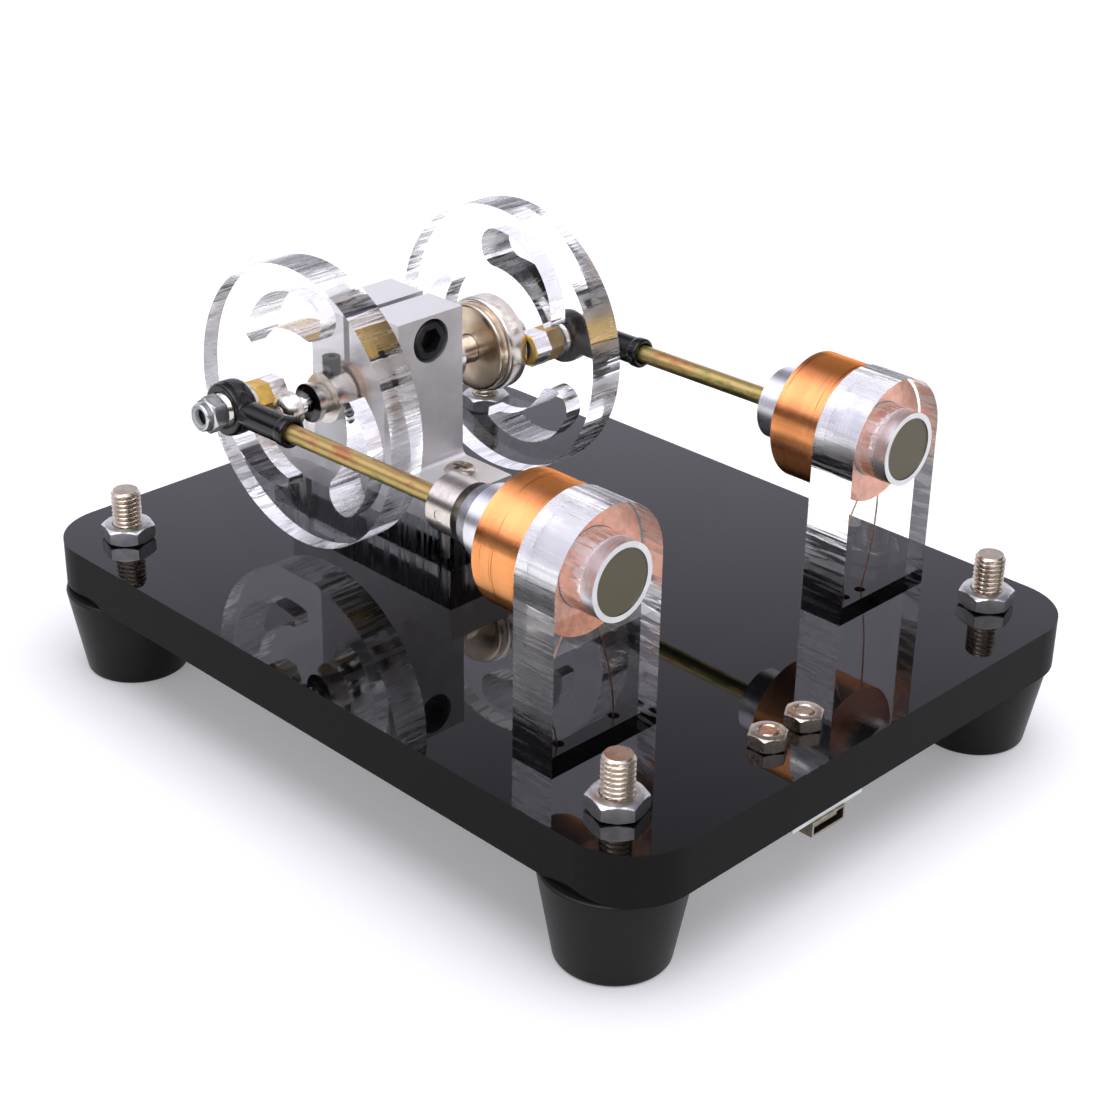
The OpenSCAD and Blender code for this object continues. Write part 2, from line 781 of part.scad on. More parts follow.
module wrist_pin(side) {
    wx = wrist_x(side);
    y = side_y(side);
    half = sqrt(head_d * head_d - wrist_pin_d * wrist_pin_d) / 2 - seat_gap;
    color([0.7, 0.7, 0.72])
    along_y(wx, coil_z, y - half, y + half, wrist_pin_d);
}

module coil_tube(side) {
    color([0.82, 0.83, 0.84])
    difference() {
        along_x(side, tube_rear_x, tube_front_x, tube_d);
        along_x(side, tube_rear_x - cut, tube_front_x + cut, 2 * tube_bore_r);
    }
}

module tube_plug(side) {
    color([0.38, 0.34, 0.22])
    along_x(side, plug_rear_x, plug_rear_x + plug_t, 2 * (tube_bore_r - seat_gap));
}

module coil_core(side) {
    color(copper)
    difference() {
        along_x(side, coil_rear_x, post_rear_x, coil_core_d);
        along_x(side, coil_rear_x - cut, post_rear_x + cut, tube_d + 2 * seat_gap);
    }
}

// A tube swept along points: each ring stands square to its point's direction
function unit(v) = v / norm(v);
function heading(p, i) = unit(p[min(i + 1, len(p) - 1)] - p[max(i - 1, 0)]);
function ring_points(c, t, ref, d, sides) =
    let (u = unit(cross(t, ref)), v = cross(t, u))
    [for (j = [0 : sides - 1]) c + d / 2 * (cos(j * 360 / sides) * u + sin(j * 360 / sides) * v)];
module swept(points, ref, d, sides) {
    n = len(points);
    rings = [for (i = [0 : n - 1]) each ring_points(points[i], heading(points, i), ref, d, sides)];
    walls = [for (i = [0 : n - 2], j = [0 : sides - 1], half = [0, 1])
        let (a = i * sides + j, b = i * sides + (j + 1) % sides)
        half == 0 ? [a, b, b + sides] : [a, b + sides, a + sides]];
    start = [for (j = [1 : sides - 2]) [0, j + 1, j]];
    last = (n - 1) * sides;
    end = [for (j = [1 : sides - 2]) [last, last + j, last + j + 1]];
    polyhedron(points = rings, faces = concat(walls, start, end));
}

// Centre line of a winding, its ends carried on straight for one wire diameter
wire_r = coil_core_d / 2 + wire_lift + wire_d / 2;
function wire_point(turn) =
    [coil_rear_x + coil_rear_margin + turn * wire_pitch, wire_r * cos(360 * turn), wire_r * sin(360 * turn)];
turn_points = [for (i = [0 : coil_turns * wire_rings]) wire_point(i / wire_rings)];
function straight_end(a, b) = a + wire_d * unit(a - b);
winding_points = concat(
    [straight_end(turn_points[0], turn_points[1])],
    turn_points,
    [straight_end(turn_points[len(turn_points) - 1], turn_points[len(turn_points) - 2])]
);
winding_gap = min([for (i = [0 : len(turn_points) - 1], j = [i + wire_rings / 2 : i + 3 * wire_rings / 2])
    if (j < len(turn_points)) norm(turn_points[i] - turn_points[j]) - wire_d]);
echo(winding_gap = winding_gap);

module winding(side) {
    color([0.88, 0.55, 0.33])
    translate([0, side_y(side), coil_z]) swept(winding_points, [1, 0, 0], wire_d, wire_sides);
}

// Clear post: a slab with a round top about the coil's axis
module coil_post(side) {
    y = side_y(side);
    color(acrylic)
    difference() {
        union() {
            along_x(side, post_rear_x, post_front_x, post_w);
            translate([post_rear_x, y - post_w / 2, top_z - post_seat])
                cube([post_t, post_w, coil_z - top_z + post_seat]);
        }
        along_x(side, post_rear_x - cut, post_front_x + cut, tube_d + 2 * seat_gap);
    }
}

// A lead's route, from its coil's underside through the plate to the board
function leads_of(side) = side < 0 ? LEADS_NEAR : LEADS_FAR;
function lead_route(side, lead) = let (
    y = side_y(side),
    start = [post_rear_x - lead_start_back, y + lead[0],
        coil_z - sqrt(lead_start_r * lead_start_r - lead[0] * lead[0])],
    under = [lead_hole_x + lead_bend, y + lead[4], plate_z - lead_under],
    end = [board_x, socket_y + lead[5], plate_z - lead_under]
) [
    start,
    start - [0, 0, lead_stub],
    [post_rear_x - lead_belly_back, y + lead[1], coil_z - lead_belly_z],
    [post_rear_x - lead_drop_back, y + lead[2], top_z + lead_drop_z],
    [lead_hole_x, y + lead[3], top_z],
    [lead_hole_x, y + lead[3], plate_z],
    under,
    between(under, end, lead_run_share) + [lead_bow, 0, 0],
    end - [lead_tail, 0, 0],
    end
];

// A route with each of its corners cut once
function between(a, b, share) = a + share * (b - a);
function rounded_route(p) = concat(
    [p[0]],
    [for (i = [1 : len(p) - 2], j = [-1, 1]) between(p[i], p[i + j], lead_corner_share)],
    [p[len(p) - 1]]
);

module leads(side) {
    color([0.75, 0.4, 0.25])
    for (lead = leads_of(side))
        swept(rounded_route(lead_route(side, lead)), [1, side, 0], lead_d, lead_sides);
}

module socket_board() {
    color([0.78, 0.82, 0.82])
    difference() {
        translate([base_l / 2 - board_w, socket_y - board_w / 2, plate_z - board_t])
            cube([board_w - board_tab, board_w, board_t]);
        translate([0, 0, plate_z - board_t - cut]) at_board_screws()
            cylinder(d = screw_d + 2 * seat_gap, h = board_t + 2 * cut);
    }
}

// A folded shell, open to +X, with the contact tongue inside
module socket_shell() {
    z0 = plate_z - board_t - shell_h;
    color([0.7, 0.71, 0.72])
    translate([base_l / 2 - shell_l, socket_y, z0]) {
        difference() {
            translate([0, -shell_w / 2, 0]) cube([shell_l, shell_w, shell_h]);
            translate([shell_wall, -shell_w / 2 + shell_wall, shell_wall])
                cube([shell_l, shell_w - 2 * shell_wall, shell_h - 2 * shell_wall]);
        }
        translate([shell_wall, -shell_w * tongue_w_share / 2, (shell_h - tongue_t) / 2])
            cube([shell_l - shell_wall - tongue_set, shell_w * tongue_w_share, tongue_t]);
    }
}

module board_screws() {
    color(zinc)
    translate([0, 0, plate_z - board_t]) at_board_screws()
        mirror([0, 0, 1]) small_screw(board_t + base_t + screw_nut_h);
}

module board_nuts() {
    color(zinc)
    translate([0, 0, top_z]) at_board_screws()
        rotate(30) nut(screw_nut_w, screw_nut_h, screw_d + 2 * seat_gap);
}

base_plate();
foot(-corner_x, -corner_y);  // foot_1
foot(corner_x, -corner_y);  // foot_2
foot(corner_x, corner_y);  // foot_3
foot(-corner_x, corner_y);  // foot_4
foot_washers();
foot_screws();
foot_nuts();
support_riser();
shaft_support();
clamp_screw();
support_screws();
support_nuts();
bearing_bushes();
shaft();
shaft_collars();
collar_screws();
hub_washer();
hub_screws();
timing_magnet();
magnet_flange();
flywheel(-1);  // flywheel_near
flywheel(1);  // flywheel_far
crank_post(-1);  // crank_post_near
crank_post(1);  // crank_post_far
crank_studs();
crank_washers();
rod_ball(-1);  // ball_near
rod_ball(1);  // ball_far
crank_bolt(-1);  // crank_bolt_near
crank_bolt(1);  // crank_bolt_far
lock_nut(-1);  // lock_nut_near
lock_nut(1);  // lock_nut_far
rod_end(-1);  // rod_end_near
rod_end(1);  // rod_end_far
con_rod(-1);  // con_rod_near
con_rod(1);  // con_rod_far
plunger_head(-1);  // plunger_head_near
plunger_head(1);  // plunger_head_far
plunger_core(-1);  // plunger_core_near
plunger_core(1);  // plunger_core_far
wrist_pin(-1);  // wrist_pin_near
wrist_pin(1);  // wrist_pin_far
coil_tube(-1);  // coil_tube_near
coil_tube(1);  // coil_tube_far
tube_plug(-1);  // tube_plug_near
tube_plug(1);  // tube_plug_far
coil_core(-1);  // coil_core_near
coil_core(1);  // coil_core_far
winding(-1);  // winding_near
winding(1);  // winding_far
coil_post(-1);  // coil_post_near
coil_post(1);  // coil_post_far
leads(-1);  // leads_near
leads(1);  // leads_far
socket_board();
socket_shell();
board_screws();
board_nuts();
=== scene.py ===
# %% [markdown]
# # A demonstration electric motor
#
# The real thing is a small open machine: two coils pull iron plungers in turn, and the plungers crank a shaft
# between two clear flywheels. The mechanical model is already made and fixed. This lesson dresses it: each
# cell makes one kind of piece or one finish, in the same frame as the model, so nothing is fitted by eye.

# %% Load the fixed model
from math import cos, inf, pi, radians, sin, sqrt, tau

import bmesh
import bpy
from mathutils import Matrix, Vector


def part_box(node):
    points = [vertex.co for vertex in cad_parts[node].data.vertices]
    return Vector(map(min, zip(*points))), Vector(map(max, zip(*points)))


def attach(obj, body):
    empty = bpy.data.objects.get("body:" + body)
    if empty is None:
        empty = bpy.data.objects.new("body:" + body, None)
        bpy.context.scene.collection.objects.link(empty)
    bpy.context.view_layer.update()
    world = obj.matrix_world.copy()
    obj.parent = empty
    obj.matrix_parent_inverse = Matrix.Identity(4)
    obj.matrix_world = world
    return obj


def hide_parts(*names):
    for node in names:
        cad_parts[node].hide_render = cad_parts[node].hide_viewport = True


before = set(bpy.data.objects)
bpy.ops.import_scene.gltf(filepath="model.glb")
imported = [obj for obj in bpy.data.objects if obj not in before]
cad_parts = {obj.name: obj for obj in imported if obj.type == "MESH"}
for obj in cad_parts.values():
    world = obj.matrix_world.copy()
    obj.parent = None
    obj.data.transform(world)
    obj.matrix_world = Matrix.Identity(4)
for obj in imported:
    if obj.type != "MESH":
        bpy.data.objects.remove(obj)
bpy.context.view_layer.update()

# %% [markdown]
# ## The camera
#
# A product photograph of a small object is taken from about 40 cm with a long lens, which keeps its lines
# calm. Place and direction were solved from the plate's corners and the coils, so the direction is written as
# the camera's own three axes.

# %% Camera
CAMERA_PLACE = (0.22834, -0.22971, 0.19187)  # metres
CAMERA_RIGHT = (0.7052, 0.7089, 0.0137)
CAMERA_UP = (-0.3293, 0.3104, 0.8918)
CAMERA_BACK = (0.6279, -0.6334, 0.4523)

lens = bpy.data.cameras.new("camera")
lens.sensor_width = 36
lens.lens = 71.57
lens.clip_start = 0.01
camera = bpy.data.objects.new("camera", lens)
bpy.context.scene.collection.objects.link(camera)
camera_axes = Matrix((CAMERA_RIGHT, CAMERA_UP, CAMERA_BACK)).transposed().to_4x4()
camera.matrix_world = Matrix.Translation(CAMERA_PLACE) @ camera_axes
bpy.context.scene.camera = camera
bpy.context.scene.view_settings.view_transform = "Standard"
print("camera to plate:", round(camera.location.length, 3), "m")

# %% [markdown]
# ## Writing shader sums as Python
#
# A material is a net of nodes. Wiring each by hand hides the idea, so a small class wraps one socket, and
# signs such as * and - add the Math nodes. Every other node comes from one method, which takes the node's
# type, its settings and what its sockets get.


# %% The socket class
class Flow:
    """A value that runs through a material, on which Python's signs do sums."""

    def __init__(self, tree, socket=None):
        self.tree, self.socket = tree, socket

    def node(self, kind, settings={}, inputs={}, output=0):
        made = self.tree.nodes.new(kind)
        for name, value in settings.items():
            setattr(made, name, value)
        for name, value in inputs.items():
            self.feed(made.inputs[name], value)
        return Flow(self.tree, made.outputs[output])

    def feed(self, socket, value):
        """Links a flow to a socket, or writes a number or a colour on it."""
        if isinstance(value, Flow):
            self.tree.links.new(value.socket, socket)
        elif isinstance(value, tuple) and len(value) == 3 and socket.type == "RGBA":
            socket.default_value = (*value, 1)
        else:
            socket.default_value = value

    def sum(self, sign, first, second=0.0):
        return self.node("ShaderNodeMath", {"operation": sign}, {0: first, 1: second})

    def __add__(self, other):
        return self.sum("ADD", self, other)

    def __mul__(self, other):
        return self.sum("MULTIPLY", self, other)

    def __sub__(self, other):
        return self.sum("SUBTRACT", self, other)

    def __rsub__(self, other):
        return self.sum("SUBTRACT", other, self)

    def __abs__(self):
        return self.sum("ABSOLUTE", self)

    __radd__, __rmul__ = __add__, __mul__

    def step(self, low, high, to_low=0.0, to_high=1.0):
        """Goes smoothly from one value to another while this one goes from low to high."""
        return self.node("ShaderNodeMapRange", {"interpolation_type": "SMOOTHSTEP"},
                         {0: self, 1: low, 2: high, 3: to_low, 4: to_high})

    def mix(self, first, second):
        """Blends two colours, with this value as the share of the second."""
        return self.node("ShaderNodeMix", {"data_type": "RGBA"}, {0: self, 6: first, 7: second}, 2)

    def noise(self, place, size, detail=2.0, rough=0.5):
        """Cloudy noise whose clouds are about size metres across."""
        return self.node("ShaderNodeTexNoise", {}, {"Vector": place, "Scale": 1 / size, "Detail": detail,
                                                    "Roughness": rough})

    def stretched(self, place, x, y, z):
        """The place with each axis scaled: a small number draws the noise out along that axis."""
        return self.node("ShaderNodeVectorMath", {"operation": "MULTIPLY"}, {0: place, 1: (x, y, z)})

    def facing(self, axis):
        """How far the surface looks along an axis of the piece, from -1 to 1. X is 0, Y is 1 and Z is 2."""
        normal = self.node("ShaderNodeTexCoord", output="Normal")
        return self.node("ShaderNodeSeparateXYZ", {}, {0: normal}, axis)

    def bump(self, height, depth, strength=1.0):
        """Tilts the surface by a height, whose full range is depth metres."""
        return self.node("ShaderNodeBump", {}, {"Height": height, "Distance": depth, "Strength": strength})


print("a flow can:", ", ".join(name for name in vars(Flow) if not name.startswith("_")))

# %% [markdown]
# ## One way to start every finish
#
# Each finish is one Principled shader. What is the same all over is set on its sockets; what varies is worked
# out by a function that gets the flow and the place on the piece, and returns the sockets to feed.

# %% Finishes
FINISHES = {}


def finish(name, fixed, varied):
    """Makes a material: fixed sockets as values, varied ones from a function of the flow and the place."""
    material = bpy.data.materials.new(name)
    material.use_nodes = True
    shader = material.node_tree.nodes["Principled BSDF"]
    flow = Flow(material.node_tree)
    place = flow.node("ShaderNodeTexCoord", output="Object")
    for socket, value in (fixed | varied(flow, place)).items():
        flow.feed(shader.inputs[socket], value)
    FINISHES[name] = material
    print("finish:", name)


# %% [markdown]
# ## Black acrylic
#
# The base is cast acrylic, black through and polished, so it shows nothing but what it mirrors. The faint
# swirls and dust that handling leaves give the mirror its life. The gloss of the two faces is a coat over a
# duller body, so the sawn edge, which has hardly any coat, stays dark.


# %% Black acrylic
def black_sheet(flow, place):
    edge = 1 - abs(flow.facing(2)).step(0.5, 0.95)
    dust = flow.noise(place, size=0.0006, detail=3).step(0.62, 0.8)
    swirl = flow.noise(flow.stretched(place, 1, 5, 1), size=0.03, detail=3)
    saw = flow.noise(flow.stretched(place, 1, 1, 0.04), size=0.0004, detail=2)
    clean_black, dusty_black = (0.0022, 0.002, 0.0024), (0.02, 0.019, 0.017)
    return {"Base Color": (dust * 0.3 + edge * 0.25).mix(clean_black, dusty_black),
            "Roughness": swirl * 0.1 + saw * edge * 0.2 + 0.22,
            "Coat Weight": 1 - edge * 0.8 - dust * 0.06,
            "Normal": flow.bump(saw * edge, depth=0.00003, strength=0.35)}


ACRYLIC_IOR = 1.49
finish("black_acrylic", {"Specular IOR Level": 0.0, "Coat IOR": ACRYLIC_IOR, "Coat Roughness": 0.015},
       black_sheet)

# %% [markdown]
# ## Clear acrylic
#
# Wheels, posts and the block under the shaft are cut from clear sheet. The faces stay polished, and the laser
# leaves fine lines across each cut edge, along the way that the beam went. So the finish asks which way the
# surface looks, edge or face, and rules its lines along the sheet's thickness. There is one such finish for
# each axis that a sheet's thickness can lie along.


# %% Clear acrylic
def clear_sheet(axis):
    """The finish of a clear sheet whose thickness lies along the axis."""
    def varied(flow, place):
        edge = 1 - abs(flow.facing(axis)).step(0.6, 0.97)
        stretch = [1.0, 1.0, 1.0]
        stretch[axis] = 0.06
        along = flow.stretched(place, *stretch)
        lines = flow.noise(along, size=0.0009, detail=1.5, rough=0.6)
        waves = flow.noise(along, size=0.004, detail=1)
        return {"Roughness": edge * (lines.step(0.44, 0.62) * 0.32 + 0.1) + 0.004,
                "Normal": flow.bump(edge * (lines + waves), depth=0.00015, strength=0.6)}

    return varied


for axis, letter in enumerate("xyz"):
    finish("clear_acrylic_" + letter,
           {"Base Color": (0.985, 0.99, 0.99), "Transmission Weight": 1.0, "IOR": ACRYLIC_IOR},
           clear_sheet(axis))

# %% [markdown]
# ## Metals with a cloudy skin
#
# Zinc, nickel, brass, bronze and plain steel differ in colour and in how evenly their skin grew. One recipe
# gives them all: a cloudy colour, a slightly uneven roughness and a fine grain. The copper of the leads and
# of the coils' ends takes it too, and so does the socket's tarnished shell.


# %% Plated and plain metals
def plated(light, dark, cloud, shine, grain):
    """A skin between two colours: the size of its clouds, its roughness, and its grain's depth in metres."""
    def varied(flow, place):
        clouds = flow.noise(place, cloud, detail=4, rough=0.6)
        fine = flow.noise(place, size=0.00018, detail=2)
        return {"Base Color": clouds.step(0.3, 0.7).mix(light, dark),
                "Roughness": clouds * 0.14 + fine * 0.08 + (shine - 0.11),
                "Normal": flow.bump(fine, grain, strength=0.4)}

    return varied


# Each metal: how metallic it is, light and dark colour, cloud size, roughness and depth of grain
METALS = {
    "zinc": (1.0, (0.72, 0.73, 0.71), (0.54, 0.55, 0.53), 0.0018, 0.32, 0.00001),
    "nickel": (1.0, (0.8, 0.75, 0.68), (0.62, 0.57, 0.5), 0.0025, 0.24, 0.00001),
    "aged_nickel": (1.0, (0.62, 0.55, 0.45), (0.46, 0.39, 0.3), 0.0025, 0.26, 0.00001),
    "brass": (0.85, (0.8, 0.54, 0.14), (0.66, 0.4, 0.08), 0.002, 0.34, 0.00001),
    "polished_nickel": (1.0, (0.74, 0.7, 0.64), (0.62, 0.57, 0.51), 0.003, 0.16, 0.000004),
    "magnet_nickel": (1.0, (0.68, 0.57, 0.42), (0.52, 0.42, 0.3), 0.004, 0.24, 0.000004),
    "bronze": (1.0, (0.55, 0.36, 0.26), (0.4, 0.24, 0.17), 0.002, 0.35, 0.00002),
    "iron": (1.0, (0.4, 0.4, 0.42), (0.24, 0.24, 0.25), 0.002, 0.4, 0.00002),
    "black_steel": (0.6, (0.03, 0.03, 0.032), (0.015, 0.015, 0.016), 0.0015, 0.34, 0.00002),
    "wound_edge": (1.0, (0.78, 0.34, 0.19), (0.58, 0.22, 0.12), 0.0012, 0.42, 0.00002),
    "dark_copper": (1.0, (0.6, 0.28, 0.16), (0.42, 0.18, 0.1), 0.002, 0.32, 0.00001),
    "tarnished_shell": (1.0, (0.36, 0.33, 0.26), (0.22, 0.19, 0.14), 0.0012, 0.34, 0.00002),
}
for name, (metallic, *recipe) in METALS.items():
    finish(name, {"Metallic": metallic}, plated(*recipe))

# %% [markdown]
# ## Yellow zinc
#
# The rods are zinc plated and then dipped in a bath that leaves a film a fraction of a micron thick. Light
# that passes it turns gold, pink where the film is thick and green where it is thin, so the colour follows a
# noise that is drawn out along the rod.


# %% Yellow zinc
def rainbow(flow, place):
    film = flow.noise(flow.stretched(place, 0.4, 1, 1), size=0.0024, detail=3, rough=0.6)
    # How far the surface faces up is added to the film, so each rod's colour runs from a darker green
    # underneath to gold and pink on top.
    film = film + flow.facing(2) * 0.1
    streak = flow.noise(flow.stretched(place, 0.1, 1, 1), size=0.0006, detail=2)
    green, gold, pink = (0.25, 0.27, 0.08), (0.54, 0.4, 0.15), (0.5, 0.22, 0.1)
    return {"Base Color": film.step(0.57, 0.72).mix(film.step(0.34, 0.52).mix(green, gold), pink),
            "Roughness": streak * 0.2 + 0.28,
            "Normal": flow.bump(streak, depth=0.00001, strength=0.4)}


finish("yellow_zinc", {"Metallic": 0.9}, rainbow)

# %% [markdown]
# ## Aluminium, milled and turned
#
# The shaft support is sawn from a drawn bar. Its colour is painted lighter on top and darker on the sides, a
# painted highlight and painted shade, with cloudy patches on the sides. The coil tubes are turned, which
# leaves rings about X, and their cut ends are dull and pale.


# %% Aluminium
def milled_bar(flow, place):
    # Painted light: the top gets a lighter colour and the sides a darker, patchy one, a painted highlight on
    # top and painted shade on the sides.
    painted_light_top = flow.facing(2).step(0.5, 0.95)
    strokes = flow.noise(flow.stretched(place, 1, 1, 0.2), size=0.00025, detail=3, rough=0.6)
    patches = flow.noise(place, size=0.006, detail=3)
    shaded_sides_and_patches = patches.step(0.3, 0.7).mix((0.72, 0.708, 0.715), (0.62, 0.608, 0.615))
    return {"Base Color": painted_light_top.mix(shaded_sides_and_patches, (0.93, 0.93, 0.93)),
            "Roughness": strokes * 0.16 + patches * 0.08 + 0.32,
            "Normal": flow.bump(strokes, depth=0.00002, strength=0.4)}


def turned_tube(flow, place):
    faced = abs(flow.facing(0)).step(0.6, 0.95)
    rings = flow.noise(flow.stretched(place, 1, 0.02, 0.02), size=0.00012, detail=2)
    patches = flow.noise(place, size=0.004, detail=3)
    return {"Base Color": patches.step(0.3, 0.7).mix((0.88, 0.885, 0.9), (0.76, 0.765, 0.78)),
            "Metallic": 1 - faced * 0.8,
            "Roughness": rings * 0.2 + faced * 0.15 + 0.2,
            "Normal": flow.bump(rings, depth=0.00001, strength=0.5)}


finish("aluminium", {"Metallic": 0.75}, milled_bar)
finish("turned_aluminium", {}, turned_tube)

# %% [markdown]
# ## Copper wire
#
# Magnet wire is bright copper under a thin varnish. Some turns took more varnish and look dark, which shows
# as thin rings round the coil, so the noise is drawn out round the X axis.


# %% Copper wire
def copper_wire(flow, place):
    turn = flow.noise(flow.stretched(place, 1, 0.015, 0.015), size=0.0003, detail=3, rough=0.7)
    bloom = flow.noise(flow.stretched(place, 1, 0.3, 0.3), size=0.003, detail=2)
    wire = bloom.step(0.3, 0.7).mix((0.96, 0.46, 0.18), (0.9, 0.4, 0.15))
    return {"Base Color": turn.step(0.58, 0.7).mix(wire, (0.42, 0.13, 0.04)),
            "Roughness": bloom * 0.05 + 0.13}


finish("copper", {"Metallic": 1.0, "Specular Tint": (0.95, 0.42, 0.16), "Coat Weight": 0.1,
                  "Coat Roughness": 0.1}, copper_wire)

# %% [markdown]
# ## Rubber, plastics and board
#
# Moulded pieces take a fine skin from their mould, and scuffs make them paler and rougher in use. The feet's
# rubber and the black plastic of the rod ends reflect less than a bare plastic would.


# %% Rubber, plastics and board
def moulded(colour, scuffed, size, shine, depth):
    """A moulded skin: its two colours, its size, its roughness, and its depth in metres."""
    def varied(flow, place):
        skin = flow.noise(place, size, detail=3, rough=0.6)
        scuffs = flow.noise(flow.stretched(place, 1, 1, 4), size=0.004, detail=4, rough=0.7).step(0.55, 0.75)
        return {"Base Color": (scuffs * 0.6).mix(colour, scuffed),
                "Roughness": skin * 0.15 + scuffs * 0.12 + shine,
                "Normal": flow.bump(skin, depth, strength=0.5)}

    return varied


# Each plastic: how strongly it reflects, its colour and scuffed colour, size of skin, roughness and depth
PLASTICS = {
    "black_rubber": (0.18, (0.008, 0.008, 0.007), (0.018, 0.018, 0.016), 0.0005, 0.3, 0.00004),
    "black_plastic": (0.4, (0.004, 0.004, 0.004), (0.016, 0.016, 0.016), 0.0004, 0.12, 0.00002),
    "olive_plastic": (0.5, (0.095, 0.082, 0.042), (0.13, 0.105, 0.055), 0.0012, 0.4, 0.00003),
    "nylon": (0.5, (0.5, 0.53, 0.53), (0.4, 0.42, 0.42), 0.0006, 0.4, 0.00002),
    "pale_board": (0.5, (0.72, 0.78, 0.77), (0.6, 0.68, 0.66), 0.0008, 0.3, 0.00003),
}
for name, (reflects, *recipe) in PLASTICS.items():
    finish(name, {"Specular IOR Level": reflects}, moulded(*recipe))

# %% [markdown]
# ## Shapes from a lathe and a drawn wire
#
# Nearly everything on this machine is turned or drawn as wire. Two helpers follow those crafts, in
# millimetres. The lathe's radius may be a function of the angle, so the same helper makes hexagons, knurls
# and threads.


# %% Lathe and wire
def skin(rows, sides, closed=False):
    """Faces between rows of points, with both ends filled unless the last row joins the first."""
    faces = []
    for row in range(rows if closed else rows - 1):
        a, b = row * sides, (row + 1) % rows * sides
        faces += [(a + k, a + (k + 1) % sides, b + (k + 1) % sides, b + k) for k in range(sides)]
    if not closed:
        faces += [tuple(reversed(range(sides))), tuple(range((rows - 1) * sides, rows * sides))]
    return faces


def turned(profile, sides, closed=False):
    """Turns (height, radius) pairs about Z. A radius may be a function of the angle."""
    points = []
    for height, radius in profile:
        for k in range(sides):
            angle = tau * k / sides
            r = radius(angle) if callable(radius) else radius
            points.append((r * cos(angle), r * sin(angle), height))
    return points, skin(len(profile), sides, closed)


def drawn(route, radius, sides):
    """A round wire along a route of points."""
    route = [Vector(point) for point in route]
    points, side = [], None
    for k, point in enumerate(route):
        way = (route[min(k + 1, len(route) - 1)] - route[max(k - 1, 0)]).normalized()
        side = (way.orthogonal() if side is None else side - way * side.dot(way)).normalized()
        other = way.cross(side)
        angles = [tau * j / sides for j in range(sides)]
        points += [point + (side * cos(angle) + other * sin(angle)) * radius for angle in angles]
    return points, skin(len(route), sides)


print("a square bar has", len(turned([(0, 1), (2, 1)], 4)[1]), "faces")

# %% [markdown]
# ## Moving and joining shapes
#
# A shape is a list of points and a list of faces. Moving it and joining several into one are all that this
# lesson needs. A place is a matrix from millimetres to the frame's metres, with Z along a named axis.

# %% Moving and joining
MM = 0.001
LEANS = {"z": Matrix(), "-z": Matrix.Rotation(pi, 4, "X"), "y": Matrix.Rotation(-pi / 2, 4, "X"),
         "-y": Matrix.Rotation(pi / 2, 4, "X"), "x": Matrix.Rotation(pi / 2, 4, "Y")}


def joined(*shapes):
    """Several shapes in one."""
    points, faces = [], []
    for shape_points, shape_faces in shapes:
        faces += [tuple(len(points) + k for k in face) for face in shape_faces]
        points += shape_points
    return points, faces


def moved(shape, place):
    return [place @ Vector(point) for point in shape[0]], shape[1]


def copies(shape, places):
    return joined(*[moved(shape, place) for place in places])


def spot(x, y, z, axis="z", turn=0.0):
    """A place in millimetres, whose Z lies along the axis, after a turn about it in degrees."""
    turning = Matrix.Rotation(radians(turn), 4, "Z")
    return Matrix.Scale(MM, 4) @ Matrix.Translation((x, y, z)) @ LEANS[axis] @ turning


print("a spot 10 mm up:", tuple(spot(0, 0, 10).translation))

# %% [markdown]
# ## Reading places off the model
#
# Most places come from the model's own solids. A solid's box gives its middle and how far it reaches along
# an axis, so a piece that stands for a solid sits where the solid is.


# %% Places from the model
def middle(node):
    """The middle of a solid's box, in millimetres."""
    return [500 * (a + b) for a, b in zip(*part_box(node))]


def reach(node, axis):
    """How far a solid reaches along an axis: its lowest and highest place, in millimetres."""
    return [1000 * corner["xyz".index(axis)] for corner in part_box(node)]


print("the plate's top is at", round(reach("base_plate", "z")[1], 2), "mm")

# %% [markdown]
# ## Placing a piece
#
# A piece gets its mesh in the frame's own metres, rides on a body of the mechanism and, where it stands for a
# plain solid, hides that solid. Points that fall together are welded, so that each skin is closed. Edges
# sharper than the crease angle stay sharp, and the rest is shaded smooth.

# %% Place a piece
WELD = 2e-7  # metres
CREASE = 32  # degrees


def piece(name, shape, paint, body, stands_for=(), crease=CREASE, place=None):
    if place is not None:
        shape = moved(shape, place)
    mesh = bpy.data.meshes.new(name)
    mesh.from_pydata([tuple(point) for point in shape[0]], [], shape[1])
    work = bmesh.new()
    work.from_mesh(mesh)
    bmesh.ops.remove_doubles(work, verts=work.verts, dist=WELD)
    bmesh.ops.recalc_face_normals(work, faces=work.faces)
    work.to_mesh(mesh)
    work.free()
    mesh.shade_smooth()
    mesh.set_sharp_from_angle(angle=radians(crease))
    mesh.materials.append(FINISHES[paint])
    made = bpy.data.objects.new(name, mesh)
    bpy.context.scene.collection.objects.link(made)
    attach(made, body)
    if stands_for:
        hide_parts(*stands_for)
    print("piece:", name, "with", len(mesh.polygons), "faces on", body)


# %% [markdown]
# ## Solids that stay
#
# Plates, wheels and blocks already have their true shape. They only need their edges broken, because a real
# edge always catches a thin line of light, and a finish. A bevel that works by angle does that without
# touching the solid itself.


# %% Keep the true solids
def pair(name):
    """The two solids of one kind, on the near and the far side of the machine."""
    return [f"{name}_near", f"{name}_far"]


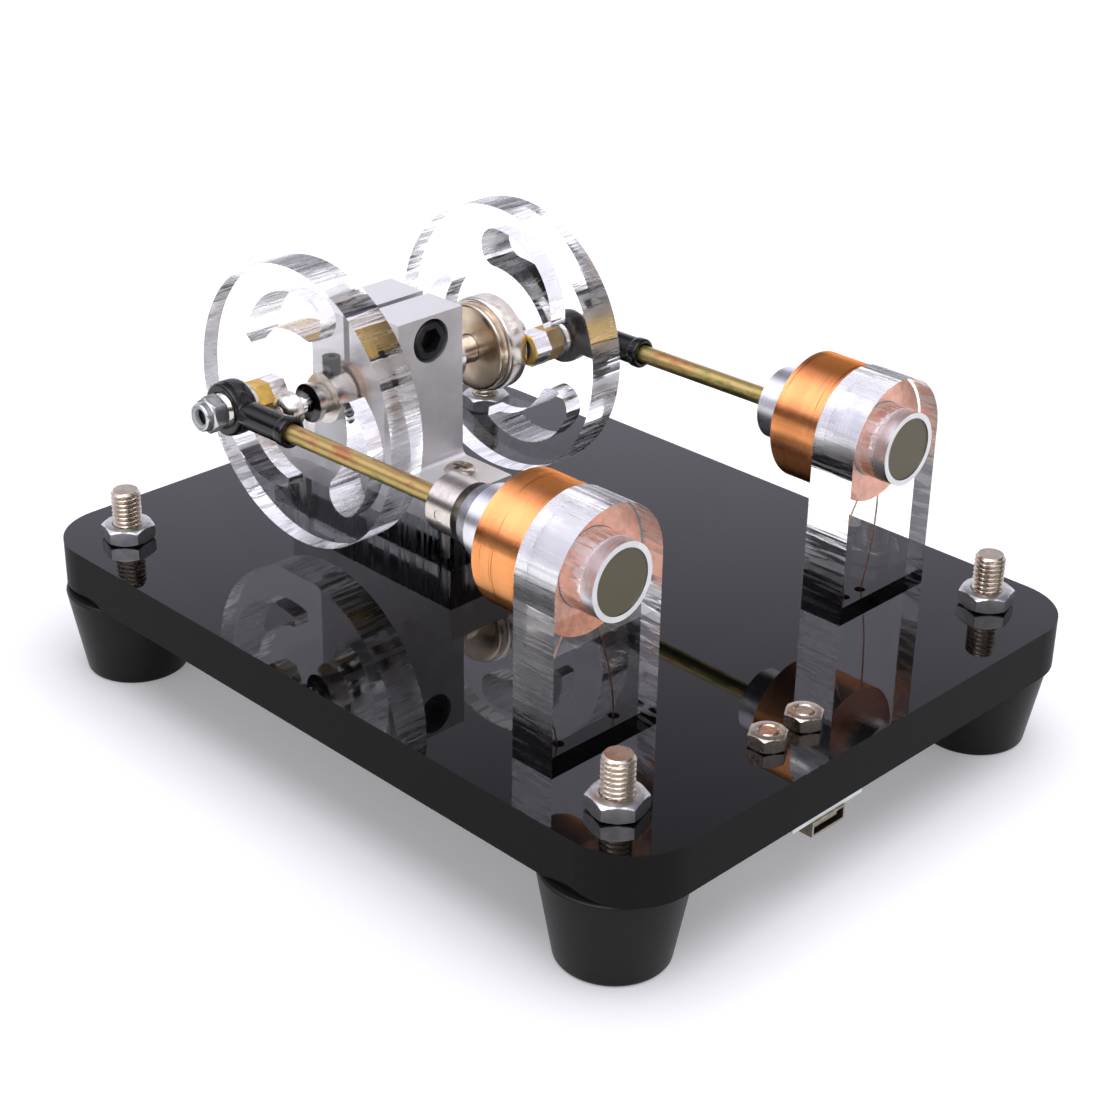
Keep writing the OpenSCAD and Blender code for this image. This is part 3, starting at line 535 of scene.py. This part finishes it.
# Finish, width of the broken edge in millimetres, and solids
KEPT_SOLIDS = [
    ("black_acrylic", 0.3, ["base_plate"]),
    ("clear_acrylic_z", 0.15, ["support_riser"]),
    ("clear_acrylic_y", 0.12, pair("flywheel")),
    ("clear_acrylic_x", 0.15, pair("coil_post")),
    ("aluminium", 0.25, ["shaft_support"]),
    ("turned_aluminium", 0.15, pair("coil_tube")),
    ("zinc", 0.1, ["foot_washers", "crank_studs"]),
    ("zinc", 0.08, ["crank_washers"]),
    ("bronze", 0.15, ["bearing_bushes"]),
    ("nickel", 0.3, pair("plunger_head")),
    ("nickel", 0.2, ["shaft", "shaft_collars"]),
    ("nickel", 0.1, ["hub_washer"] + pair("wrist_pin")),
    ("black_steel", 0.1, ["collar_screws"]),
    ("black_steel", 0.2, pair("crank_bolt")),
    ("yellow_zinc", 0.15, pair("con_rod")),
    ("iron", 0.2, pair("plunger_core")),
    ("olive_plastic", 0.1, pair("tube_plug")),
    ("pale_board", 0.1, ["socket_board"]),
    ("tarnished_shell", 0.08, ["socket_shell"]),
]
BEVEL_ABOVE = 38  # degrees between two faces


def keep(node, paint, width):
    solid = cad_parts[node]
    if not solid.material_slots:
        solid.data.materials.append(None)
    for slot in solid.material_slots:
        slot.material = FINISHES[paint]
    edges = solid.modifiers.new("broken edges", "BEVEL")
    edges.width, edges.segments = width * MM, 2
    edges.limit_method, edges.angle_limit = "ANGLE", radians(BEVEL_ABOVE)


for paint, width, nodes in KEPT_SOLIDS:
    for node in nodes:
        keep(node, paint, width)
print(sum(len(nodes) for _, _, nodes in KEPT_SOLIDS), "solids kept with their edges broken")

# %% [markdown]
# ## Feet
#
# Each foot is a moulded rubber cone with softly rounded rims and a well for its screw. A turned outline with
# rounded corners shows the highlight that a sharp cone would miss.

# %% Feet
FOOT_H, FOOT_TOP_R, FOOT_GROUND_R = 15.5, 11.25, 8.75
WELL_FLOOR, WELL_R, WELL_MOUTH_R, FOOT_HOLE_R = 11.5, 5.4, 5.9, 2.6


def rounded(height, radius, size, way):
    """A quarter round at an outer corner: way is 1 at the top of a shape and -1 at its bottom."""
    arc = [(height - way * size * (1 - sin(t)), radius - size * (1 - cos(t)))
           for t in (0, 0.4, 0.8, 1.2, pi / 2)]
    return arc if way > 0 else arc[::-1]


well = [(WELL_FLOOR, FOOT_HOLE_R), (WELL_FLOOR, WELL_R), (0.4, WELL_R + 0.1), (0, WELL_MOUTH_R)]
cone = rounded(0, FOOT_GROUND_R, 0.7, -1) + rounded(FOOT_H, FOOT_TOP_R, 0.5, 1)
foot = turned(well + cone + [(FOOT_H, FOOT_HOLE_R)], 96, closed=True)
for k in range(1, 5):
    x, y, _ = middle(f"foot_{k}")
    piece(f"rubber_foot_{k}", foot, "black_rubber", "base", (f"foot_{k}",), place=spot(x, y, 0))

# %% [markdown]
# ## Hexagons, threads and crosses
#
# A nut is a hexagon bar turned on a lathe, so its corners are cut by a cone, which leaves the curved chamfer
# that every real nut shows. A thread is a ridge that climbs as it goes round: its radius depends on the
# height and the angle together. A cross recess is another radius that changes with the angle.

# %% Hexagons, threads and crosses
HEX_CORNER = 1.155  # how much further a hexagon's corners lie than its flats
CONE_SLOPE = 1.73  # how much the cone that cuts a nut's corners widens over its height
THREAD_CREST, THREAD_FLANK, THREAD_DEPTH = 0.12, 0.68, 0.6  # shares of half a turn, and of the pitch
RINGS_PER_TURN = 8


def hexagon(width, limit=inf):
    """Radius of a hexagon bar at each angle, cut down to a round limit."""
    return lambda angle: min(limit, width / 2 / cos((angle + pi / 6) % (pi / 3) - pi / 6))


def nut(width, height, bore, chamfer=0.95):
    """A nut by its width over flats, height and bore radius. The chamfer starts inside the flats."""
    cut_h = width / 2 * (HEX_CORNER - chamfer) / CONE_SLOPE
    steps = [cut_h * k / 4 for k in range(5)]
    rim = [hexagon(width, width / 2 * chamfer + CONE_SLOPE * step) for step in steps]
    outside = list(zip(steps, rim)) + [(height - step, limit) for step, limit in zip(steps[::-1], rim[::-1])]
    inside = [(height, bore + 0.3), (height - 0.3, bore), (0.3, bore), (0, bore + 0.3)]
    return turned(outside + inside, 72, True)


def thread(diameter, pitch, low, high, tip):
    """Rings of a thread from low to high, its last part cut to a blunt tip."""
    def ridge(height):
        def radius(angle):
            turn = abs(2 * ((height / pitch - angle / tau) % 1) - 1)
            groove = min(1, max(0, (turn - THREAD_CREST) / THREAD_FLANK))
            return min(diameter / 2 - THREAD_DEPTH * pitch * groove,
                       diameter / 2 - tip + (high - height) * 0.8)
        return radius

    count = round((high - low) / pitch * RINGS_PER_TURN)
    heights = [low + (high - low) * k / count for k in range(count + 1)]
    return [(height, ridge(height)) for height in heights]


def cross(arm, width):
    """Radius of a cross recess at each angle."""
    def radius(angle):
        c, s = abs(cos(angle)) + 1e-6, abs(sin(angle)) + 1e-6
        return max(min(arm / c, width / s), min(arm / s, width / c))
    return radius


print("rings in 5 mm of M3 thread:", len(thread(3, 0.5, 0, 5, 0.3)))

# %% [markdown]
# ## Corner screws and nuts
#
# A socket head screw rises through each foot and the plate, and a nut holds it there, so its end stands up
# as a threaded stud. The screws at the plate's two ends are turned by different angles, as hands leave them.

# %% Corner screws and nuts
SCREW_X, SCREW_Y = 57.5, 43.5
SCREW_HEAD_LOW, SCREW_HEAD_TOP, SCREW_TIP = 7.1, 10.5, 33
SCREW_HEAD_R, SCREW_CORE_R = 4.5, 2.45
PLATE_TOP = 24
corners = [(x, y) for x in (-SCREW_X, SCREW_X) for y in (-SCREW_Y, SCREW_Y)]
key_hole = [(SCREW_HEAD_LOW + 2, hexagon(4.9)), (SCREW_HEAD_LOW, hexagon(5))]
screw_head = [(SCREW_HEAD_LOW, 4.1), (SCREW_HEAD_LOW + 0.4, SCREW_HEAD_R), (SCREW_HEAD_TOP, SCREW_HEAD_R)]
screw_shank = [(SCREW_HEAD_TOP, SCREW_CORE_R), (PLATE_TOP, SCREW_CORE_R)]
screw = turned(key_hole + screw_head + screw_shank + thread(5, 0.8, PLATE_TOP + 0.2, SCREW_TIP, 0.45), 36)
piece("corner_screws", copies(screw, [spot(x, y, 0, turn=40 * x) for x, y in corners]), "aged_nickel",
      "base", ("foot_screws",))
piece("corner_nuts", copies(nut(8, 2.8, 2.35), [spot(x, y, PLATE_TOP + 0.02, turn=15) for x, y in corners]),
      "zinc", "base", ("foot_nuts",))

# %% [markdown]
# ## Screws and nuts of the power inlet
#
# Two small screws hold the socket's board under the plate, and their nuts show on top of it, beside the edge.
# The heads below are pan heads with cross recesses, turned upside down.

# %% Inlet screws and nuts
INLET_X, INLET_YS = 61, (-15.6, -7.4)
FLATS_M3, M3_R = 5.5, 1.45
PAN_R, PAN_H = 2.9, 2.2
small_nut = nut(FLATS_M3, 2.4, 1.4)
nut_seat = reach("board_nuts", "z")[0]
head_low, tip = reach("board_screws", "z")
places = [(INLET_X, y) for y in INLET_YS]
piece("inlet_nuts", copies(small_nut, [spot(x, y, nut_seat, turn=30) for x, y in places]), "aged_nickel",
      "base", ("board_nuts",))
inlet_head = [(head_low + 1.3, cross(1.5, 0.4)), (head_low, cross(1.6, 0.45)), (head_low, 2.4),
              (head_low + 0.5, PAN_R), (head_low + PAN_H, PAN_R)]
inlet_shank = [(head_low + PAN_H, M3_R), (nut_seat, M3_R)]
inlet_screw = turned(inlet_head + inlet_shank + thread(3, 0.5, nut_seat + 0.3, tip, 0.3), 48)
piece("inlet_screws", copies(inlet_screw, [spot(x, y, 0) for x, y in places]), "aged_nickel", "base",
      ("board_screws",))

# %% [markdown]
# ## Screws of the shaft support
#
# Two pan head screws with cross recesses hold the shaft support and the clear block under it. A pan head is
# low and well rounded, so its outline is mostly a quarter round.

# %% Support screws
low, high = reach("support_screws", "z")
under_head = high - PAN_H
x_low, x_high = reach("support_screws", "x")
_, y, _ = middle("support_screws")
places = [(x_low + PAN_R, y), (x_high - PAN_R, y)]
pan_shank = [(low, 1.1), (low + 0.4, M3_R), (under_head, M3_R), (under_head, 2.8)]
pan_recess = [(high, 1.8), (high, cross(1.55, 0.4)), (under_head + 0.7, cross(1.0, 0.3))]
pan = turned(pan_shank + rounded(high, PAN_R, 1.1, 1)[1:] + pan_recess, 72)
piece("block_screws", copies(pan, [spot(x, y, 0, turn=25 + x) for x, y in places]), "nickel", "base",
      ("support_screws",))
nut_low = reach("support_nuts", "z")[0]
piece("block_nuts", copies(small_nut, [spot(x, y, nut_low) for x, y in places]), "zinc", "base",
      ("support_nuts",))

# %% [markdown]
# ## Clamp screw
#
# A black socket screw closes the slit of the shaft support. The knurl round its head is the lathe's angle
# again: a small wave on the radius.

# %% Clamp screw
KNURL_R, KNURL_RIDGES, KNURL_DEPTH = 3.45, 40, 0.05
CLAMP_R, CLAMP_HEAD_H = 2, 4
tip, end = reach("clamp_screw", "x")
_, y, z = middle("clamp_screw")


def knurl(angle):
    return KNURL_R + KNURL_DEPTH * cos(KNURL_RIDGES * angle)


clamp_shank = [(tip, 1.6), (tip + 0.4, CLAMP_R), (end - CLAMP_HEAD_H, CLAMP_R)]
clamp_head = [(end - CLAMP_HEAD_H, knurl), (end - 0.8, knurl), (end - 0.35, 3.3), (end, 2.95)]
clamp_socket = [(end, hexagon(3.9)), (end - 0.3, hexagon(3.8)), (end - 2.4, hexagon(3.8))]
piece("black_socket_screw", turned(clamp_shank + clamp_head + clamp_socket, 240), "black_steel", "base",
      ("clamp_screw",), place=spot(0, y, z, "x"))

# %% [markdown]
# ## Hub screws
#
# A button screw holds each wheel to the end of the shaft. Its head is domed, so it mirrors the bright room
# where a flat head would mirror the black plate.

# %% Hub screws
BUTTON_R, BUTTON_H = 2.98, 2.9
x, _, z = middle("hub_screws")
button_shank = [(-14.5, 1.1), (-14.1, 1.5), (0, 1.5), (0, 2.85), (0.15, BUTTON_R)]
button_socket = [(2.98, 1.05), (BUTTON_H, 0.95), (2.88, hexagon(1.9)), (1.2, hexagon(1.9))]
button = turned(button_shank + rounded(BUTTON_H, BUTTON_R, 1.9, 1) + button_socket, 72)
near_face, far_face = reach("flywheel_near", "y")[0], reach("flywheel_far", "y")[1]
piece("hub_buttons", copies(button, [spot(x, near_face, z, "-y"), spot(x, far_face, z, "y")]),
      "nickel", "crankshaft", ("hub_screws",))

# %% [markdown]
# ## Magnet and its flange
#
# The timing magnet is a plated ring with a soft rim and a slightly domed face, polished enough to mirror the
# bronze bush in front of it. Its flange carries it on the shaft.

# %% Magnet and flange
RING_HOLE_R, RING_R, FLANGE_R = 2.6, 7.8, 8.5
DOME_R, DOME_H = 7.2, 0.4
x, _, z = middle("timing_magnet")
near, far = reach("timing_magnet", "y")
dome = [(near + DOME_H * (r / DOME_R) ** 2, r) for r in (RING_HOLE_R, 3.6, 4.6, 5.6, 6.4, DOME_R)]
ring_rim = [(near + 0.5, 7.5), (near + 0.62, 7.7), (near + 0.8, RING_R), (far - 0.1, RING_R), (far, 7.6)]
piece("magnet_ring", turned(dome + ring_rim + [(far, RING_HOLE_R)], 96, True),
      "magnet_nickel", "crankshaft", ("timing_magnet",), place=spot(x, 0, z, "y"))
near, far = reach("magnet_flange", "y")
flange = rounded(near, FLANGE_R, 0.6, -1) + rounded(far, FLANGE_R, 0.5, 1)
piece("magnet_carrier", turned([(near, RING_HOLE_R)] + flange + [(far, RING_HOLE_R)], 96, True),
      "nickel", "crankshaft", ("magnet_flange",), place=spot(x, 0, z, "y"))

# %% [markdown]
# ## Shapes of the crank pins
#
# On the end of each crank pin sits a ball with flat sides, held by a bolt and a lock nut: a thin hexagon with
# a round collar that grips a nylon ring. All three are turned.

# %% Ball, lock nut and nylon ring
BALL_R, BALL_HALF_W = 3.5, 2.6
BALL_REACH = 0.835  # radians from the ball's middle to its flat sides
ball_arc = [(BALL_R * sin(t), BALL_R * cos(t)) for t in [BALL_REACH * k / 8 for k in range(-8, 9)]]
ball_bore = [(BALL_HALF_W, 1.8), (2.4, 1.55), (-2.4, 1.55), (-BALL_HALF_W, 1.8)]
ball = turned(ball_arc + ball_bore, 64, True)

HEX_H = 2.7
rim = [(0.3 * k / 3, hexagon(FLATS_M3, 2.62 + 0.52 * k / 3)) for k in range(4)]
top = [(HEX_H - height, radius) for height, radius in reversed(rim)]
collar = [(2.4, 2.75), (2.75, 2.42), (3.6, 2.38)] + rounded(4, 2.38, 0.35, 1)[1:]
stop_nut = turned(rim + top + collar + [(3.95, 1.95), (3.4, 1.9), (0.2, 1.5), (0, 1.7)], 72, True)
nylon_ring = turned([(3.0, 1.92), (3.85, 1.92), (3.95, 1.8), (3.7, 1.42), (3.0, 1.42)], 48, True)
print("points of ball, lock nut and ring:", len(ball[0]), len(stop_nut[0]), len(nylon_ring[0]))

# %% [markdown]
# ## Crank pieces on both sides
#
# Hexagon brass posts stand through the wheels, and the balls and lock nuts sit outside them. Both sides of
# the machine get the same pieces, with Z pointing outward, so one loop places them all.

# %% Crank pieces
OUTWARD = {"near": ("-y", -1), "far": ("y", 1)}
POST_TURN = {"near": 32, "far": 28}  # degrees that lay each post's flats along its hole in the wheel
for side, (out, sign) in OUTWARD.items():
    x, _, z = middle(f"crank_post_{side}")
    inner, outer = sorted(abs(v) for v in reach(f"crank_post_{side}", "y"))
    piece(f"brass_post_{side}", nut(FLATS_M3, outer - inner, 1.5), "brass", "crankshaft",
          (f"crank_post_{side}",), place=spot(x, sign * inner, z, out, POST_TURN[side]))
    x, y, z = middle(f"ball_{side}")
    piece(f"polished_ball_{side}", ball, "polished_nickel", f"rod_{side}", (f"ball_{side}",),
          place=spot(x, y, z, out))
    nut_y = y + sign * BALL_HALF_W
    piece(f"stop_nut_{side}", stop_nut, "zinc", f"rod_{side}", (f"lock_nut_{side}",),
          place=spot(x, nut_y, z, out, 12))
    piece(f"nylon_ring_{side}", nylon_ring, "nylon", f"rod_{side}",
          place=spot(x, nut_y, z, out))

# %% [markdown]
# ## Rod ends
#
# A rod end is moulded in one piece: a barrel-shaped eye that flows into a shank with a lip. Eye and shank are
# turned apart, then joined by a voxel remesh and smoothed a little, which gives the moulded fillet between
# them.

# %% Moulding
VOXEL, SMOOTH_ROUNDS = 0.17, 3


def melted(shape):
    """Joins closed shapes into one skin with soft inner corners."""
    mesh = bpy.data.meshes.new("melted")
    mesh.from_pydata([tuple(point) for point in shape[0]], [], shape[1])
    holder = bpy.data.objects.new("melted", mesh)
    bpy.context.scene.collection.objects.link(holder)
    grid = holder.modifiers.new("grid", "REMESH")
    grid.mode, grid.voxel_size = "VOXEL", VOXEL
    soft = holder.modifiers.new("soft", "SMOOTH")
    soft.factor, soft.iterations = 0.5, SMOOTH_ROUNDS
    made = bpy.data.meshes.new_from_object(holder.evaluated_get(bpy.context.evaluated_depsgraph_get()))
    result = [v.co.copy() for v in made.vertices], [tuple(face.vertices) for face in made.polygons]
    for old in (made, mesh):
        bpy.data.meshes.remove(old)
    return result


EYE_WALL_R, EYE_REACH = 3.55, 0.6  # millimetres, and radians from the eye's middle to its rims
eye_wall = [(EYE_WALL_R * sin(t), EYE_WALL_R * cos(t)) for t in [EYE_REACH * k / 6 for k in range(6, -7, -1)]]
eye_outside = [(-2, 4.1), (-1.8, 4.4), (-0.9, 4.6), (0.9, 4.6), (1.8, 4.4), (2, 4.1)]
eye = turned(eye_outside + eye_wall, 64, True)
shank_outside = [(3.7, 1.9), (4.6, 2.2), (6, 2.35), (13.9, 2.35), (14.1, 2.6), (15.4, 2.6), (15.7, 2.3)]
shank_bore = [(15.6, 1.75), (8.3, 1.6), (8.3, 0.2), (3.7, 0.2)]
shank = turned(shank_outside + shank_bore, 48, True)
rod_end = melted(joined(moved(eye, Matrix.Rotation(pi / 2, 4, "X")),
                        moved(shank, Matrix.Rotation(pi / 2, 4, "Y"))))
print("rod end points:", len(rod_end[0]))

# %% [markdown]
# ## Rod ends on their rods
#
# Each rod end is aimed from its ball to the wrist pin in the plunger, because that is the line that the rod
# between them follows.


# %% Rod ends
def aimed(start, end):
    """A place in millimetres whose X runs from one point to another, with Y along the shaft."""
    along = (Vector(end) - Vector(start)).normalized()
    across = Vector((0, 1, 0))
    axes = Matrix((along, across, along.cross(across))).transposed().to_4x4()
    return Matrix.Scale(MM, 4) @ Matrix.Translation(start) @ axes


for side in OUTWARD:
    piece(f"moulded_rod_end_{side}", rod_end, "black_plastic", f"rod_{side}", (f"rod_end_{side}",),
          crease=60, place=aimed(middle(f"ball_{side}"), middle(f"wrist_pin_{side}")))

# %% [markdown]
# ## Coils
#
# A coil is one wire of a fifth of a millimetre, wound in layers over a tube. The outer layer is drawn as that
# wire, turn by turn, because only real turns give copper its bands of light. The ends show the layers as
# rings.

# %% Coils
WIRE, WIRE_PITCH = 0.2, 0.206
PRESSED = 1.04  # the wire is drawn this much thicker, so that neighbouring turns touch
COIL_R, COIL_L, INNER_LAYER_R, LAYERS = 10.5, 9.0, 6.15, 21
POINTS_PER_TURN = 80
turns = int(COIL_L / WIRE_PITCH)
winding_r = COIL_R - WIRE / 2
winding = []
for k in range(turns * POINTS_PER_TURN + 1):
    angle = tau * k / POINTS_PER_TURN
    along = 0.1 + (COIL_L - 0.2) * k / (turns * POINTS_PER_TURN)
    winding.append((along, winding_r * cos(angle), winding_r * sin(angle)))
outer_layer = drawn(winding, WIRE / 2 * PRESSED, 6)

rings = []
for layer in range(LAYERS):
    r = INNER_LAYER_R + WIRE * layer
    rings += [(0.06, r), (0, r + WIRE / 2), (0.06, r + WIRE * 0.98)]
inner_layers = turned(rings + [(COIL_L - h, r) for h, r in reversed(rings)], 96, True)
for side in OUTWARD:
    x_low = reach(f"coil_core_{side}", "x")[0]
    _, y, z = middle(f"coil_core_{side}")
    piece(f"copper_coil_{side}", outer_layer, "copper", "base", (f"winding_{side}",), crease=80,
          place=Matrix.Scale(MM, 4) @ Matrix.Translation((x_low, y, z)))
    piece(f"copper_layers_{side}", inner_layers, "wound_edge", "base", (f"coil_core_{side}",), crease=80,
          place=spot(x_low, y, z, "x"))
print(turns, "turns of wire on each coil")

# %% [markdown]
# ## Leads
#
# Two ends of wire leave each coil's underside, hang in an easy curve behind the post and drop through the
# plate to the socket's board. They follow the model's route, with its corners cut until the wire bends
# smoothly.

# %% Leads
LEAD_R, LEAD_START_R = 0.14, 10.15
HOLE_X, PLATE_LOW, LEAD_UNDER, SOCKET_Y = 35.79, 15.5, 14.7, -11.5
BELLY_DOWN, DROP_Z = 13.3, 31
CORNER_ROUNDS = 3
# Each lead's places across the coil: start, belly, drop, hole in the plate and bend under it. Its end at the
# board is measured from the socket's middle.
LEADS = {
    "near": [(-4.8, -6.3, -6.1, -3.5, -2.1, -4.5), (2.8, 3.9, 6.9, 8, 9.3, -1.5)],
    "far": [(1.8, 2.6, 3.1, 1.5, -0.1, 4.5), (-3.5, -4.7, -4.7, -2.5, -4.1, 1.5)],
}
board_x, rear_x = reach("socket_board", "x")[0], reach("coil_post_near", "x")[0]


def lead_route(y, z, lead):
    """The points of one lead of the coil whose axis lies at y and z."""
    begin, belly, drop, hole, bend, end = lead
    start = Vector((rear_x - 0.5, y + begin, z - sqrt(LEAD_START_R ** 2 - begin ** 2)))
    under = Vector((HOLE_X + 1.4, y + bend, LEAD_UNDER))
    stop = Vector((board_x, SOCKET_Y + end, LEAD_UNDER))
    return [start, start - Vector((0, 0, 0.4)), Vector((rear_x - 1, y + belly, z - BELLY_DOWN)),
            Vector((rear_x - 1.8, y + drop, DROP_Z)), Vector((HOLE_X, y + hole, PLATE_TOP)),
            Vector((HOLE_X, y + hole, PLATE_LOW)), under, under.lerp(stop, 0.6) + Vector((0.8, 0, 0)),
            stop - Vector((1, 0, 0)), stop]


def smoothed(route):
    """Cuts each corner of a route, again and again, and keeps its ends."""
    for _ in range(CORNER_ROUNDS):
        cut = [route[0]]
        for a, b in zip(route, route[1:]):
            cut += [a.lerp(b, 0.25), a.lerp(b, 0.75)]
        route = cut + [route[-1]]
    return route


for side, leads in LEADS.items():
    _, y, z = middle(f"coil_core_{side}")
    wires = [drawn(smoothed(lead_route(y, z, lead)), LEAD_R, 8) for lead in leads]
    piece(f"lead_wires_{side}", joined(*wires), "dark_copper", "base", (f"leads_{side}",), crease=80,
          place=Matrix.Scale(MM, 4))

# %% [markdown]
# ## Floor
#
# The photograph has a white ground with a soft shadow that is a little blue. The floor takes the shadow as
# any matt surface does, and its colour leans to blue. Seen by the camera, in a mirror or through glass it
# also glows a little, and more with distance, so it fades to white without more light on the machine.

# %% Floor
FLOOR_HALF = 3  # metres
floor = bpy.data.objects.new("floor", bpy.data.meshes.new("floor"))
floor_corners = [(-FLOOR_HALF, -FLOOR_HALF, 0), (FLOOR_HALF, -FLOOR_HALF, 0),
                 (FLOOR_HALF, FLOOR_HALF, 0), (-FLOOR_HALF, FLOOR_HALF, 0)]
floor.data.from_pydata(floor_corners, [], [(0, 1, 2, 3)])
bpy.context.scene.collection.objects.link(floor)

ground = bpy.data.materials.new("floor")
ground.use_nodes = True
flow = Flow(ground.node_tree)
seen = 0.0
for ray in ("Is Camera Ray", "Is Glossy Ray", "Is Transmission Ray"):
    seen = flow.node("ShaderNodeLightPath", output=ray) + seen
place = flow.node("ShaderNodeTexCoord", output="Object")
distance = flow.node("ShaderNodeVectorMath", {"operation": "LENGTH"}, {0: place}, 1)
glow = distance.step(0.09, 0.17) * 0.1 + distance.step(0.2, 0.9) * 0.45 + 0.22
matt = {"Base Color": (0.86, 0.85, 0.92), "Roughness": 0.9, "Specular IOR Level": 0.0,
        "Emission Strength": 1.0, "Emission Color": (seen * glow).mix((0, 0, 0), (1, 0.99, 1))}
for socket, value in matt.items():
    flow.feed(ground.node_tree.nodes["Principled BSDF"].inputs[socket], value)
floor.data.materials.append(ground)
print("floor:", 2 * FLOOR_HALF, "m wide")

# %% [markdown]
# ## World
#
# The room is white low down and dimmer above, and the black plate mirrors its dim back wall. Metal shows more
# of the room than the plate does: side walls that are dark low down and bright above, a dim far half, and a
# bright soft box above the near side, which gives each coil its bands of light. Whatever is mirrored is a
# little blue, and light that comes through glass is plain white.

# %% World
BACK_WALL_WAY = (-0.7, 0.7, 0)
SOFT_BOX_WAY = (0.1, -0.6, 0.79)
world = bpy.data.worlds.new("room")
world.use_nodes = True
bpy.context.scene.world = world
flow = Flow(world.node_tree)
way = flow.node("ShaderNodeTexCoord", output="Generated")
across, height = [flow.node("ShaderNodeSeparateXYZ", {}, {0: way}, axis) for axis in (1, 2)]
behind, above = [flow.node("ShaderNodeVectorMath", {"operation": "DOT_PRODUCT"}, {0: way, 1: aim}, 1)
                 for aim in (BACK_WALL_WAY, SOFT_BOX_WAY)]

back_wall = height.step(0.34, 0.62, 1.05, 0.22)
far_half = across.step(-0.05, 0.35)
side_walls = height.step(0.26, 0.46, 0.05, 1.35) * (1 - far_half * 0.85) + above.step(0.8, 0.92) * 2.3
mirrored = side_walls + behind.step(0.25, 0.6) * (back_wall - side_walls)

by_metal = flow.node("ShaderNodeLightPath", output="Is Glossy Ray")
by_glass = flow.node("ShaderNodeLightPath", output="Is Transmission Ray")
wall = back_wall + by_metal * (mirrored - back_wall)
wall = wall + by_glass * (1 - wall)
tinted = flow.node("ShaderNodeCombineColor", {}, {0: wall, 1: wall * (1 - by_metal * 0.03),
                                                  2: wall * (by_metal * 0.13 + 1)})
flow.feed(world.node_tree.nodes["Background"].inputs["Color"], tinted)
print("world:", len(world.node_tree.nodes), "nodes")

# %% [markdown]
# ## Lamp
#
# One large disc overhead gives the soft shadow. It lights the pieces but isn't seen in them, because the
# world already holds the soft box that metal mirrors.

# %% Lamp
LAMP_PLACE, LAMP_TARGET = Vector((0.1, 0.0, 0.9)), Vector((0, 0, 0.03))  # metres
light = bpy.data.lights.new("overhead", "AREA")
light.shape, light.size, light.energy = "DISK", 1.0, 7
lamp = bpy.data.objects.new("overhead", light)
lamp.location = LAMP_PLACE
lamp.rotation_euler = (LAMP_TARGET - LAMP_PLACE).to_track_quat("-Z", "Y").to_euler()
bpy.context.scene.collection.objects.link(lamp)
lamp.visible_glossy = False
print("lamp:", light.energy, "W from a disc", light.size, "m across")
